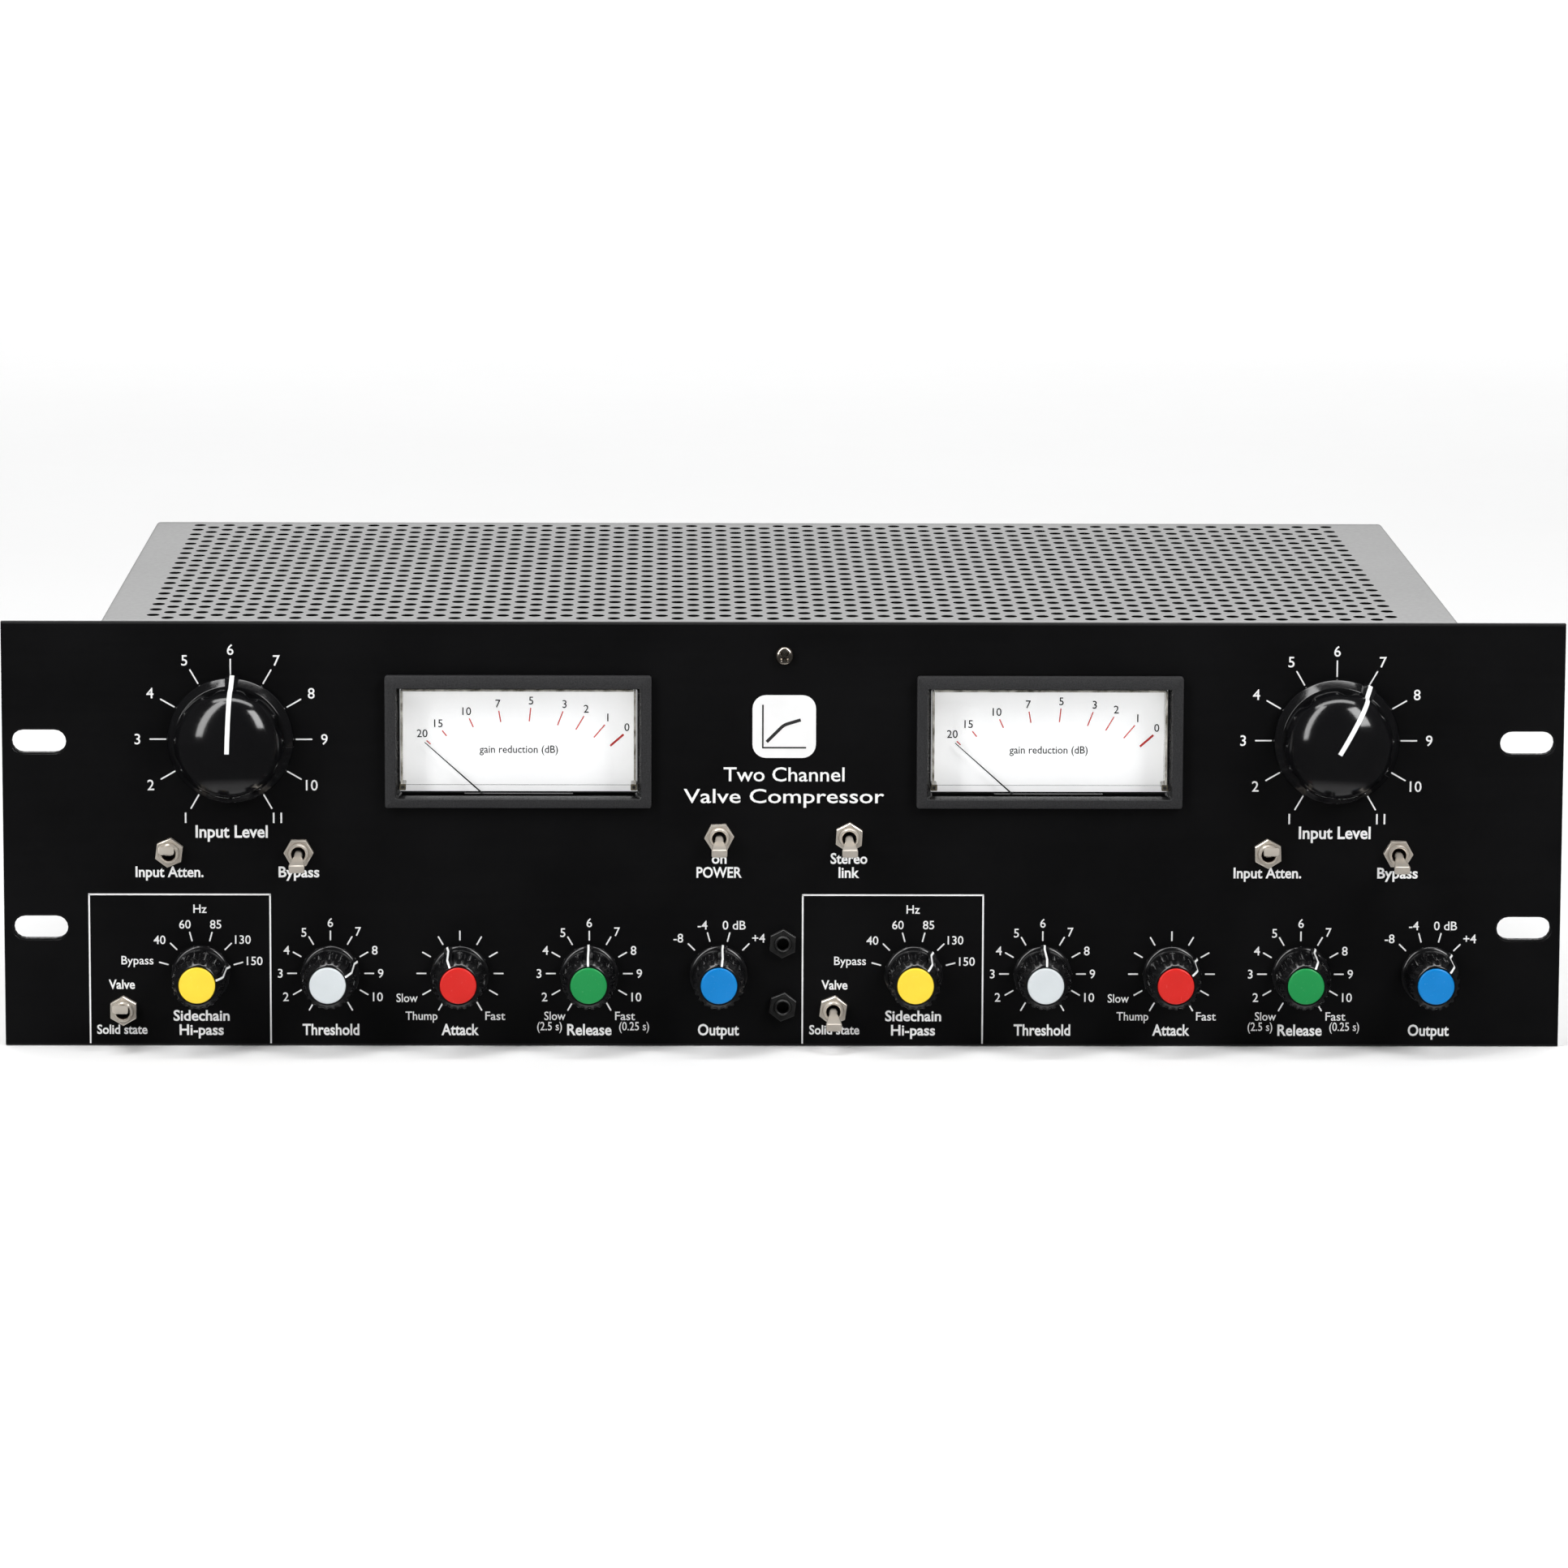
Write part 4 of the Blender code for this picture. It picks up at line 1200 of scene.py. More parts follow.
@dataclass
class Toggle:
    """A toggle switch: nut, threaded bushing and flat lever."""

    shop: Workshop
    name: str
    x: float
    z: float
    points_up: bool
    nut_turn: float
    lean: float = 12.5
    pivot_y: float = -2.0

    def build(self) -> None:
        """Make the hardware, the bushing's dark lining as painted shade in its bore, the can behind
        with its tags and the lever.
        """
        spot = (self.x, 0, self.z)
        parts = [
            nut(8.0, 3.12, -2.3, -0.02, self.nut_turn),
            threaded(3.15, 2.25, 1.0, -4.3, 0.5),
        ]
        self.shop.build(f"{self.name}_hardware", parts, NICKEL, "nickel", at=spot)
        # the lining darkens the bore: painted shade
        lining = revolve(
            ((0, 0.9), (2.24, 0.9), (2.24, -3.9), (2.1, -3.9), (1.95, 0.6), (0, 0.6)), 32
        )
        self.shop.build(f"{self.name}_socket", lining, BORE_SHADE, "nickel", at=spot)
        can = [slab(rounded_outline(6.9, 12.7, 0.5, 3), 3.3, 12.2, 0.3)]
        can += [bar(0, z, 2.0, 0.8, 12.0, 12.8) for z in (-4.7, 0.0, 4.7)]
        self.shop.build(f"{self.name}_can", can, POT_METAL, "nickel",
                        replaces=(f"{self.name}_switch",), at=spot)
        lever = self.lever().turned("X", -self.lean if self.points_up else self.lean)
        body = f"{self.name}_lever"
        self.shop.build(f"{self.name}_bat", lever, NICKEL, "nickel", body, (body,),
                        at=(self.x, self.pivot_y, self.z))

    def lever(self) -> Surface:
        """A bat lever: rounded cross-sections that start narrow and widen to a flat end.

        Each cross-section is a rounded rectangle whose width and height change along the lever.
        """
        stations = ((1.6, 1.0, 1.0), (0.8, 1.7, 1.7), (0.0, 2.4, 2.0), (-2.0, 2.5, 2.0),
                    (-4.5, 2.75, 1.95), (-8.0, 3.7, 2.1), (-11.0, 4.6, 2.5), (-12.8, 4.86, 2.6),
                    (-13.3, 4.8, 2.5), (-13.45, 4.6, 2.3), (-13.5, 4.3, 2.0))
        layers = [
            (rounded_outline(w, h, min(w, h) * (0.42 if y > -5 else 0.22), 4), y)
            for y, w, h in stations
        ]
        return stacked(layers)


@dataclass
class Jack:
    """A small black socket for a plug 3.5 mm across."""

    shop: Workshop
    name: str
    z: float
    turn: float
    x: float = -0.2

    def build(self) -> None:
        """Make the nut and collar, the case behind and the spring contact."""
        name, spot = f"jack_{self.name}", (self.x, 0, self.z)
        front = [
            nut(7.9, 2.58, -2.2, -0.05, self.turn),
            threaded(2.6, 1.85, 3.5, -3.4, 0.5),
            revolve(((1.86, 1.0), (2.3, 1.0), (2.3, 13.0), (1.86, 13.0)), 32),
        ]
        self.shop.build(f"{name}_socket", front, MOULDED_BLACK, "socket_black",
                        replaces=(name,), at=spot)
        case = slab(rounded_outline(9.0, 9.0, 0.6, 3), 3.3, 17.3, 0.3)
        self.shop.build(f"{name}_case", case, MOULDED_BLACK, "socket_black",
                        at=(self.x, 0.1, self.z))
        spring = ribbon(((1.5, 1.6), (1.0, 2.6), (1.45, 3.6)), 1.2, 0.12).turned("Y", -25)
        self.shop.build(f"{name}_contact", spring, COPPER, "socket_black", at=spot)


# --- meters -------------------------------------------------------------------------------------
@dataclass
class Meter:
    """A gain-reduction meter: bezel, clear cover with its walls, printed card and needle."""

    shop: Workshop
    letters: Lettering
    side: Side
    centre_x: float = 82.1
    centre_z: float = 95.6
    bezel: tuple[float, float] = (82.3, 41.2)
    boss: tuple[float, float] = (35.7, -14.3)
    dial_y: float = 7.0
    pivot_z: float = 68.4
    needle_y: float = 5.3
    needle_length: float = 39.0
    rest: float = -48.2
    # figure, angle from up, outer radius from the pivot, length of the tick
    marks: tuple[tuple[str, float, float, float], ...] = (
        ("20", -47.3, 38.8, 1.7), ("15", -38.8, 37.8, 2.2), ("10", -24.7, 36.6, 3.0),
        ("7", -9.8, 36.2, 3.6), ("5", 5.8, 36.8, 4.3), ("3", 21.1, 38.1, 4.7),
        ("2", 30.7, 39.6, 5.0), ("1", 40.4, 41.2, 5.3), ("0", 48.9, 43.1, 5.5),
    )

    @property
    def x(self) -> float:
        """The meter's middle."""
        return self.side.sign * self.centre_x

    @property
    def middle(self) -> tuple[float, float, float]:
        """The meter's middle, on the panel's face."""
        return (self.x, 0, self.centre_z)

    def build(self) -> None:
        """Make the meter's pieces."""
        self.build_bezel()
        self.build_cover()
        self.build_card()
        self.build_needle()

    def name(self, part: str) -> str:
        """A piece's name on this side."""
        return f"meter_{part}_{self.side.value}"

    def pane_outline(self, half_x: float, top: float, bottom: float,
                     radius: float = 0.6) -> Array:
        """An outline about the meter's middle, by its reach sideways, upwards and downwards."""
        return rounded_outline(2 * half_x, top + bottom, radius, 5) + (0.0, (top - bottom) / 2)

    def build_bezel(self) -> None:
        """The moulded frame: a speckled face with broken outer edges, and a glossy inner slope."""
        outer = rounded_outline(*self.bezel, 0.9, 5)
        mouth = self.pane_outline(37.95, 16.7, 17.8, 0.8)
        foot = self.pane_outline(36.75, 16.35, 17.1)
        face = stacked((
            (outer, -0.02), (outer, -2.1), (inset(outer, 0.12), -2.38),
            (inset(outer, 0.42), -2.5), (inset(mouth, -0.12), -2.5), (mouth, -2.4),
            (inset(mouth, -0.1), -0.02),
        ), hollow=True)
        slope = stacked((
            (inset(mouth, -0.05), -2.3), (inset(mouth, 0.03), -2.3), (foot, -0.6), (foot, 6.95),
            (inset(foot, -0.4), 6.95), (inset(foot, -0.4), 0.0), (inset(mouth, -0.05), -0.05),
        ), hollow=True)
        self.shop.build(self.name("frame"), face, BEZEL_BLACK, "meter_plastic",
                        replaces=(self.name("bezel"),), at=self.middle)
        self.shop.build(self.name("slope"), slope, BEZEL_SLOPE, "meter_plastic", at=self.middle)

    def build_cover(self) -> None:
        """The clear moulding: a pane, its ribs at the sides and the top, and two bosses. The ribs'
        streaks are painted reflection, and the bosses' holes are black discs of painted shade.
        """
        pane = slab(self.pane_outline(37.1, 15.9, 17.0, 0.4), -1.6, -1.2, 0.1)
        self.shop.build(self.name("pane"), pane, CLEAR, "clear_plastic",
                        replaces=(self.name("glass"),), at=self.middle)
        front, back = -0.6, 6.85
        ribs = [bar(sign * 35.98, 0.6, 0.68, 30.4, front, back) for sign in (-1, 1)]
        ribs.append(bar(0.0, 15.85, 71.2, 0.62, front, back))
        # the ribs' streaks of light and dark are painted reflection
        self.shop.build(self.name("walls"), ribs, CLEAR_EDGE_PAINTED_LIGHT, "clear_plastic", at=self.middle)
        post = slab(rounded_outline(2.0, 2.0, 0.3, 3), -0.65, back, 0.1)
        # Each post's hole is not cut: a black disc in front of the post stands for it as painted
        # shade.
        pin = revolve(((0, -0.6), (0.5, -0.6), (0.5, -0.7), (0, -0.72)), 20)
        boss_x, boss_z = self.boss
        for part, shape, finish in (("posts", post, CLEAR_SHADE), ("pins", pin, MOULDED_BLACK)):
            pair = [
                shape.moved(self.x + sign * boss_x, 0, self.centre_z + boss_z)
                for sign in (-1, 1)
            ]
            self.shop.build(self.name(part), pair, finish, "clear_plastic")

    def build_card(self) -> None:
        """The printed card: red ticks, dark figures, the unit and a fine line near its foot."""
        front, back = self.dial_y - 0.03, self.dial_y + 0.02
        # the card's finish gives off painted backlight as emission
        self.shop.dress(DIAL_WHITE, self.name("dial"))
        ticks, zero, figures = [], [], []
        for words, angle, radius, length in self.marks:
            width = 0.68 if words == "0" else 0.4
            tick = slab(rounded_outline(width, length, 0.05, 1), front, back)
            tick = tick.moved(0, 0, radius - length / 2).turned("Y", angle)
            (zero if words == "0" else ticks).append(tick.moved(self.x, 0, self.pivot_z))
            side, up = math.sin(math.radians(angle)), math.cos(math.radians(angle))
            figures.append(self.letters.line(
                words, self.x + (radius + 1.35) * side - 0.5 * (len(words) - 1) * abs(side),
                self.pivot_z + radius * up + 2.25 - 1.2, 2.4, front,
            ))
        figures.append(self.letters.line("gain reduction (dB)", self.x, 90.9, 2.3, front, 24.3))
        figures.append(bar(self.x, 80.9, 70.6, 0.11, front, back))
        for name, parts, finish in (("ticks", ticks, INK_RED), ("zero", zero, INK_CRIMSON),
                                    ("figures", figures, INK_DARK)):
            self.shop.build(self.name(name), parts, finish, "dial_white", smooth=None)

    def build_needle(self) -> None:
        """A tapered needle on a hub, with a balanced tail."""
        wide = ((-6.4, 1.4), (-3.0, 0.8), (0.0, 0.66), (12.0, 0.5), (self.needle_length, 0.26))
        rows = []
        for z, width in wide:
            half = width / 2
            rows.append([(-half, 0.0, z), (half, 0.0, z), (half, 0.3, z), (-half, 0.3, z)])
        hub = revolve(((0, -0.25), (1.9, -0.25), (2.3, 0.05), (2.3, 2.4), (0, 2.4)), 40)
        needle = Surface.joined([beam(np.array(rows)), hub]).turned("Y", self.rest)
        body = self.name("needle")
        self.shop.build(f"{body}_arm", needle, INK_DARK, "needle_black", body, (body,),
                        at=(self.x, self.needle_y, self.pivot_z))


# --- case ---------------------------------------------------------------------------------------
@dataclass
class PerforatedCover:
    """The lid: staggered rows of oval holes in a sheet whose sides fold down."""

    shop: Workshop
    left: float = -212.0
    right: float = 210.0
    front: float = 3.3
    rear: float = 267.0
    top: float = 131.0
    lip: float = 12.0
    bend: float = 1.6
    sheet: float = 1.2
    pitch: float = 9.9
    row_pitch: float = 6.4
    rows: int = 38
    columns: int = 40
    hole: tuple[float, float] = (2.0, 2.75)
    first_x: float = -196.3
    last_row_y: float = 258.3

    def cell(self) -> tuple[Array, Faces]:
        """One cell of sheet round one hole.

        Eight points stand round a rectangle, at its corners and the middles of its sides, and
        twice as many on the ellipse inside it; each span of the rectangle carries two of the
        ellipse's.

        Returns:
            Its (x, y) points about the hole's middle, and its faces.
        """
        half_x, half_y = self.pitch / 2, self.row_pitch / 2
        square = ((1, 0), (1, 1), (0, 1), (-1, 1), (-1, 0), (-1, -1), (0, -1), (1, -1))
        outer = np.array(square, float) * (half_x, half_y)
        angle = np.linspace(0, FULL_TURN, 16, endpoint=False)
        inner = np.stack((self.hole[0] * np.cos(angle), self.hole[1] * np.sin(angle)), -1)
        faces = []
        for index in range(8):
            after = (index + 1) % 8
            near, middle, far = 8 + 2 * index, 9 + 2 * index, 8 + (2 * index + 2) % 16
            faces += [(index, after, middle), (index, middle, near), (after, far, middle)]
        return np.vstack((outer, inner)), faces

    def sheet_surface(self) -> Surface:
        """The whole flat field with its margins, bends and lips, as one skin.

        Returns:
            The skin, whose faces look up and out.
        """
        flat: list[Surface] = []
        half_x, half_y = self.pitch / 2, self.row_pitch / 2
        field_left = self.first_x - half_x
        field_right = field_left + self.columns * self.pitch
        points, faces = self.cell()
        for row in range(self.rows):
            y = self.last_row_y - row * self.row_pitch
            staggered = row % 2 == 1
            count = self.columns - 1 if staggered else self.columns
            start = self.first_x + (half_x if staggered else 0.0)
            offsets = start + self.pitch * np.arange(count)
            middles = np.stack((offsets, np.full(count, y)), -1)
            many = (points[None] + middles[:, None]).reshape(-1, 2)
            moved = [
                tuple(index + len(points) * number for index in face)
                for number in range(count) for face in faces
            ]
            flat.append(self.lifted(many, moved))
            if staggered:
                for x in (field_left, field_right - half_x):
                    half_cell = ((0, -1), (1, -1), (1, 0), (1, 1), (0, 1), (0, 0))
                    filler = np.array(half_cell, float) * (half_x, half_y) + (x, y)
                    flat.append(self.lifted(filler, [tuple(range(6))]))
        field_rear = self.last_row_y + half_y
        field_front = field_rear - self.rows * self.row_pitch
        across = np.linspace(field_left, field_right, self.columns * 2 + 1)
        along = np.linspace(field_front, field_rear, self.rows * 2 + 1)
        along = np.concatenate(([self.front], along, [self.rear]))
        for ends in ((self.front, field_front), (field_rear, self.rear)):
            flat.append(self.strip(across, np.array(ends)))
        for sign, edge, start in ((-1, self.left, field_left), (1, self.right, field_right)):
            flat.append(self.folded(sign, edge, start, along))
        return Surface.joined(flat).welded()

    def lifted(self, points: Array, faces: Faces) -> Surface:
        """Flat (x, y) points raised to the cover's top."""
        return Surface(np.column_stack((points, np.full(len(points), self.top))), faces)

    def strip(self, across: Array, along: Array) -> Surface:
        """A flat stretch of sheet over a grid of places along x and y."""
        grid_y, grid_x = np.meshgrid(along, across, indexing="ij")
        points = np.stack((grid_x.ravel(), grid_y.ravel()), -1)
        return self.lifted(points, grid_faces(len(along), len(across), False, False))

    def folded(self, sign: int, edge: float, start: float, along: Array) -> Surface:
        """One side's margin, its quarter-circle bend and its lip.

        Args:
            sign: -1 on the left and 1 on the right.
            edge: the side's outer face.
            start: where the field ends.
            along: the places along y that it shares with the field.

        Returns:
            The folded stretch.
        """
        turn = np.linspace(0, math.pi / 2, 6)
        bend_x = edge - sign * self.bend * (1 - np.sin(turn))
        bend_z = self.top - self.bend * (1 - np.cos(turn))
        x = np.concatenate(([start], bend_x, [edge]))
        z = np.concatenate(([self.top], bend_z, [self.top - self.lip]))
        grid_y, grid_x = np.meshgrid(along, x, indexing="ij")
        grid_z = np.broadcast_to(z, grid_x.shape)
        points = np.stack((grid_x, grid_y, grid_z), -1).reshape(-1, 3)
        faces = grid_faces(len(along), len(x), False, False)
        if sign < 0:
            faces = [tuple(reversed(face)) for face in faces]
        return Surface(points, faces)

    def build(self) -> None:
        """Make the sheet and give it its thickness, with walls in its holes painted near black as
        shade.

        The cells round the holes are the only triangles; the walls of a face's free edges take the
        finish that follows the face's own.
        """
        item = self.shop.build("perforated_cover", self.sheet_surface(), STEEL_GREY, "case_grey",
                               replaces=("top_cover",))
        for finish in (HOLE_WALL_SHADE, STEEL_GREY, STEEL_GREY):
            item.data.materials.append(finish.material())
        polygons = item.data.polygons
        sides = np.empty(len(polygons), np.int32)
        polygons.foreach_get("loop_total", sides)
        polygons.foreach_set("material_index", np.where(sides == 3, 0, 2).astype(np.int32))
        polygons.foreach_set("use_smooth", sides != 3)
        solid = item.modifiers.new("thickness", "SOLIDIFY")
        # the holes' walls take the painted shade
        solid.material_offset_rim = 1
        solid.thickness = self.sheet * MM
        solid.offset = -1.0
        solid.use_even_offset = True


@dataclass
class Casework:
    """Tray, rear panel and the screws that hold the case together."""

    shop: Workshop
    letters: Lettering
    rear_face: float = 265.5

    def build(self) -> None:
        """Dress the sheet metal and add its screws and rear print."""
        self.shop.dress(STEEL_GREY, "chassis_tray", "rear_panel")
        screws = []
        for y in (24.0, 135.0, 246.0):
            screws.append(self.screw().turned("Z", 90).moved(209.9, y, 125.0))
            screws.append(self.screw().turned("Z", -90).moved(-211.9, y, 125.0))
        for x in (-198.0, 0.0, 196.0):
            for z in (10.0, 118.0):
                screws.append(self.screw().turned("Z", 180).moved(x, self.rear_face, z))
        for x in (170.0, 130.0, 70.0, 30.0):
            for sx in (-1, 1):
                place = (x + sx * 9.6, 267.4, 66.0 + sx * 12.2)
                screws.append(self.screw(1.7, 0.5).turned("Z", 180).moved(*place))
        self.shop.build("case_screws", screws, SCREW_STEEL, "screw_dark")
        back = self.rear_face + 0.03
        words = [
            self.letters.line(text, x, z, 3.4, back, mirrored=True)
            for text, x, z in (
                ("LEFT IN", 170, 44), ("LEFT OUT", 130, 44), ("RIGHT IN", 70, 44),
                ("RIGHT OUT", 30, 44), ("AC MAINS IN", -165, 40), ("FUSE", -125, 46),
            )
        ]
        self.shop.build("rear_legends", words, INK_DARK, "case_grey", smooth=None)

    def screw(self, radius: float = 2.6, height: float = 1.3) -> Surface:
        """A low pan head that faces the front, sunk a hair into what it holds.

        Args:
            radius: the head's radius.
            height: how far it stands out.

        Returns:
            The head with its cross recess, which is as deep as half its height.
        """
        rows = ((0, 0.04), (0.93, 0.04), (1.0, -0.1), (0.93, -0.5), (0.69, -0.83),
                (0.34, -0.96), (0, -1))
        head = revolve(smooth_profile([(r * radius, y * height) for r, y in rows], 3), 48)
        return cross_recess(head, head.points[:, 0], head.points[:, 2],
                            (0.17 * radius, 0.62 * radius), 0.4, 0.5 * height, -0.4 * height)


# --- rear connectors ----------------------------------------------------------------------------
@dataclass
class RearConnector:
    """A three-pole audio connector on a square flange."""

    shop: Workshop
    node: str
    x: float
    is_cup: bool
    z: float = 66.0
    flange_front: float = 265.8
    flange_back: float = 268.0

    def build(self) -> None:
        """Make the flange and shell, and the pins or the face with its holes."""
        if self.is_cup:
            rim = ((8.8, 252.5), (11.6, 252.5), (11.6, 267.0), (10.4, 267.9), (9.2, 267.9),
                   (8.8, 267.4))
            floor = ((0, 250.0), (9.2, 250.0), (9.2, 253.4), (0, 253.4))
            parts = [self.flange_with_hole(9.6), revolve(rim, 72), revolve(floor, 48)]
            contact = self.pin()
        else:
            plug = ((0, 246.0), (11.6, 246.0), (11.6, 267.2), (11.2, 267.8), (10.2, 267.9),
                    (9.8, 267.2), (9.5, 266.6), (9.0, 267.3), (0, 267.3))
            flange = slab(self.outline(), self.flange_front, self.flange_back - 0.6, 0.3)
            parts = [flange, revolve(plug, 72), bar(0, 12.4, 5.0, 4.6, 266.0, 267.95)]
            contact = self.hole_liner()
        self.shop.build(f"{self.node}_shell", parts, MOULDED_BLACK, "socket_black",
                        replaces=(self.node,), at=(self.x, 0, self.z))
        contacts = [
            contact.moved(self.x + dx, 0, self.z + dz)
            for dx, dz in ((-4.6, 2.0), (4.6, 2.0), (0.0, -5.0))
        ]
        self.shop.build(f"{self.node}_contacts", contacts, BRASS, "socket_black")

    def outline(self) -> Array:
        """The flange's outline."""
        return rounded_outline(26.0, 31.0, 2.2, 5)

    def flange_with_hole(self, radius: float) -> Surface:
        """A cup's flange: a plate with a round hole, skinned from its outline to the circle."""
        outline = self.outline()
        angle = np.arctan2(outline[:, 1], outline[:, 0])
        circle = radius * np.stack((np.cos(angle), np.sin(angle)), -1)
        front, back = self.flange_front, self.flange_back - 0.6
        return stacked(((circle, front), (outline, front), (outline, back - 0.3),
                        (inset(outline, 0.3), back), (circle, back)), hollow=True)

    def pin(self) -> Surface:
        """A round-ended contact pin."""
        rows = smooth_profile(((0, 253.0), (1.15, 253.0), (1.15, 260.0), (1.1, 264.4), (0.7, 265.2),
                               (0, 265.5)), 3)
        return revolve(rows, 24)

    def hole_liner(self) -> Surface:
        """The ring of a socket contact just inside the face."""
        rows = ((1.1, 266.9), (1.6, 266.9), (1.6, 267.42), (1.25, 267.42), (1.1, 267.3))
        return revolve(rows, 24)


@dataclass
class PowerEntry:
    """The mains inlet with its three blades, and the fuse holder beside it."""

    shop: Workshop
    inlet_x: float = -165.0
    inlet_z: float = 60.0
    fuse_x: float = -125.0

    def build(self) -> None:
        """Make the blades and the fuse cap, and dress the inlet."""
        outer = rounded_outline(31.0, 23.5, 2.0, 5)
        mouth, shroud = self.mouth(), rounded_outline(27.0, 19.4, 2.0, 5)
        shell = stacked((
            (mouth, 252.0), (shroud, 252.0), (shroud, 265.9), (outer, 265.8), (outer, 267.4),
            (inset(outer, 0.4), 267.8), (inset(mouth, -0.3), 267.8), (mouth, 267.4),
        ), hollow=True)
        floor = slab(rounded_outline(25.0, 17.6, 1.0, 5), 251.0, 252.2)
        self.shop.build("mains_inlet_shell", (shell, floor), MOULDED_BLACK, "socket_black",
                        replaces=("mains_inlet",), at=(self.inlet_x, 0, self.inlet_z))
        blade = slab(rounded_outline(2.0, 6.0, 0.5, 3), 251.5, 264.5, 0.4)
        blades = [
            blade.moved(self.inlet_x + dx, 0, self.inlet_z + dz)
            for dx, dz in ((-7.0, -2.0), (7.0, -2.0), (0.0, 2.0))
        ]
        self.shop.build("mains_inlet_blades", blades, POT_METAL, "control_metal")
        rows = ((0, 236), (5.5, 236), (6.0, 238), (6.0, 265.6), (7.8, 265.6), (7.8, 266.4),
                (7.3, 266.8), (6.6, 266.9), (6.4, 267.7), (6.0, 267.9), (0, 267.9))
        cap = revolve(rows, 96, lambda angle, depth: np.where(
            depth > 265.7, -0.12 * np.clip(np.cos(24 * angle), 0, 1), 0.0))
        x, y = cap.points[:, 0], cap.points[:, 1]
        slot = np.clip((0.9 - abs(x)) / 0.25, 0, 1) * (y > 267.6)
        cap.points[:, 1] -= 0.9 * slot
        self.shop.build("fuse_cap", cap, MOULDED_BLACK, "socket_black",
                        replaces=("fuse_holder",), at=(self.fuse_x, 0, self.inlet_z))

    def mouth(self) -> Array:
        """The inlet's opening: a rectangle with its two upper corners cut off."""
        outline = rounded_outline(24.0, 16.2, 0.8, 5)
        x, z = outline[:, 0], outline[:, 1]
        over = np.clip(abs(x) + z - (12.0 + 8.1 - 4.2), 0, None)
        return np.stack((x - np.sign(x) * over / 2, z - over / 2), -1)


# --- inside -------------------------------------------------------------------------------------
@dataclass
class Electronics:
    """What stands inside the case: boards, pots, valves and transformer."""

    shop: Workshop
    board_top: float = 13.6
    valve_foot: float = 21.8
    ring_place: tuple[float, float, float] = (-130, 165, 2.3)
    valves: tuple[tuple[str, float, float], ...] = (("left", 110.0, 150.0), ("right", 40.0, 150.0))

    def build(self) -> None:
        """Dress the frame's solids and add parts to the board."""
        self.shop.dress(BOARD_GREEN, "main_board", "control_board_left", "control_board_right")
        self.shop.dress(POT_METAL, "input_pot_left", "input_pot_right")
        self.shop.dress(MOULDED_BLACK, "meter_case_left", "meter_case_right")
        self.build_transformer()
        for name, x, y in self.valves:
            self.build_valve(name, x, y)
        self.build_parts()

    def upright(self, surface: Surface) -> Surface:
        """Stand a shape that was turned about Y on its end, so that its depth becomes height."""
        return surface.turned("X", 90)

    def build_transformer(self) -> None:
        """The wound ring: a rounded body whose skin swells over each turn of its winding."""
        rows = smooth_profile(((0, 0.1), (38, 0.1), (43.5, 4), (45, 12), (45, 30), (43, 38.5),
                               (38, 41.6), (27, 41.8), (21, 39.5), (0, 38.8)), 4)
        ring = revolve(rows, 240, lambda angle, depth: -0.35 * (1 + np.cos(60 * angle)) / 2)
        dish = revolve(((0, 39.0), (19, 39.0), (20, 40.0), (18, 41.4), (6, 41.0), (5, 44.4),
                        (0, 44.9)), 60)
        self.shop.build("winding", self.upright(ring), WINDING_WRAP, "transformer_wrap",
                        replaces=("mains_transformer",), at=self.ring_place)
        self.shop.build("winding_dish", self.upright(dish), POT_METAL, "control_metal",
                        at=self.ring_place)

    def build_valve(self, name: str, x: float, y: float) -> None:
        """One valve: a blown bulb with a pip, and the plates inside it.

        Args:
            name: the node's channel.
            x: its place across.
            y: its place behind the panel's face.
        """
        bulb = revolve(smooth_profile(((0, 0.2), (9.6, 0.2), (10.1, 3), (10.1, 34), (9.2, 39.5),
                                       (5.5, 43.2), (2.0, 45.0), (1.0, 48.6), (0, 49.4)), 4), 48)
        spot = (x, y, self.valve_foot)
        self.shop.build(f"valve_bulb_{name}", self.upright(bulb), VALVE_GLASS, "valve_glass",
                        replaces=(f"valve_{name}",), at=spot)
        plate = slab(rounded_outline(6.0, 9.0, 1.5, 3), 8.0, 32.0, 0.4)
        plates = [plate.moved(dx, 0, 0) for dx in (-3.6, 3.6)]
        mica = [slab(polygon_outline(24, 8.6), h, h + 0.5) for h in (7.0, 32.5)]
        inner = Surface.joined([*plates, *mica])
        self.shop.build(f"valve_plates_{name}", self.upright(inner), POT_METAL, "control_metal",
                        at=spot)

    def build_parts(self) -> None:
        """Rows of capacitors and resistors on the main board."""
        can = revolve(smooth_profile(
            ((0, 0), (6.0, 0), (6.3, 0.8), (6.3, 22.5), (5.8, 23.6), (0, 23.8)), 3), 32)
        cans = [
            self.upright(can).moved(x, y, self.board_top)
            for x in (-22.0, -4.0) for y in (90.0, 110.0, 130.0)
        ]
        self.shop.build("board_capacitors", cans, SLEEVE_BLUE, "board_green")
        stick = revolve(smooth_profile(((0, -3.2), (1.2, -3.2), (1.2, -2.2), (1.0, 0), (1.2, 2.2),
                                        (1.2, 3.2), (0, 3.2)), 2), 16)
        sticks = [
            stick.moved(x, y, self.board_top + 1.4)
            for x in np.arange(70.0, 170.0, 8.0) for y in (84.0, 96.0, 205.0, 217.0)
        ]
        self.shop.build("board_resistors", sticks, RESISTOR_TAN, "board_green")


# --- studio -------------------------------------------------------------------------------------
def stand(right: Array, up: Array, back: Array, place: Sequence[float]) -> Matrix:
    """The matrix of an object with given axes of its own, at a place in metres."""
    matrix = Matrix(np.column_stack((right, up, back)).tolist()).to_4x4()
    matrix.translation = place
    return matrix


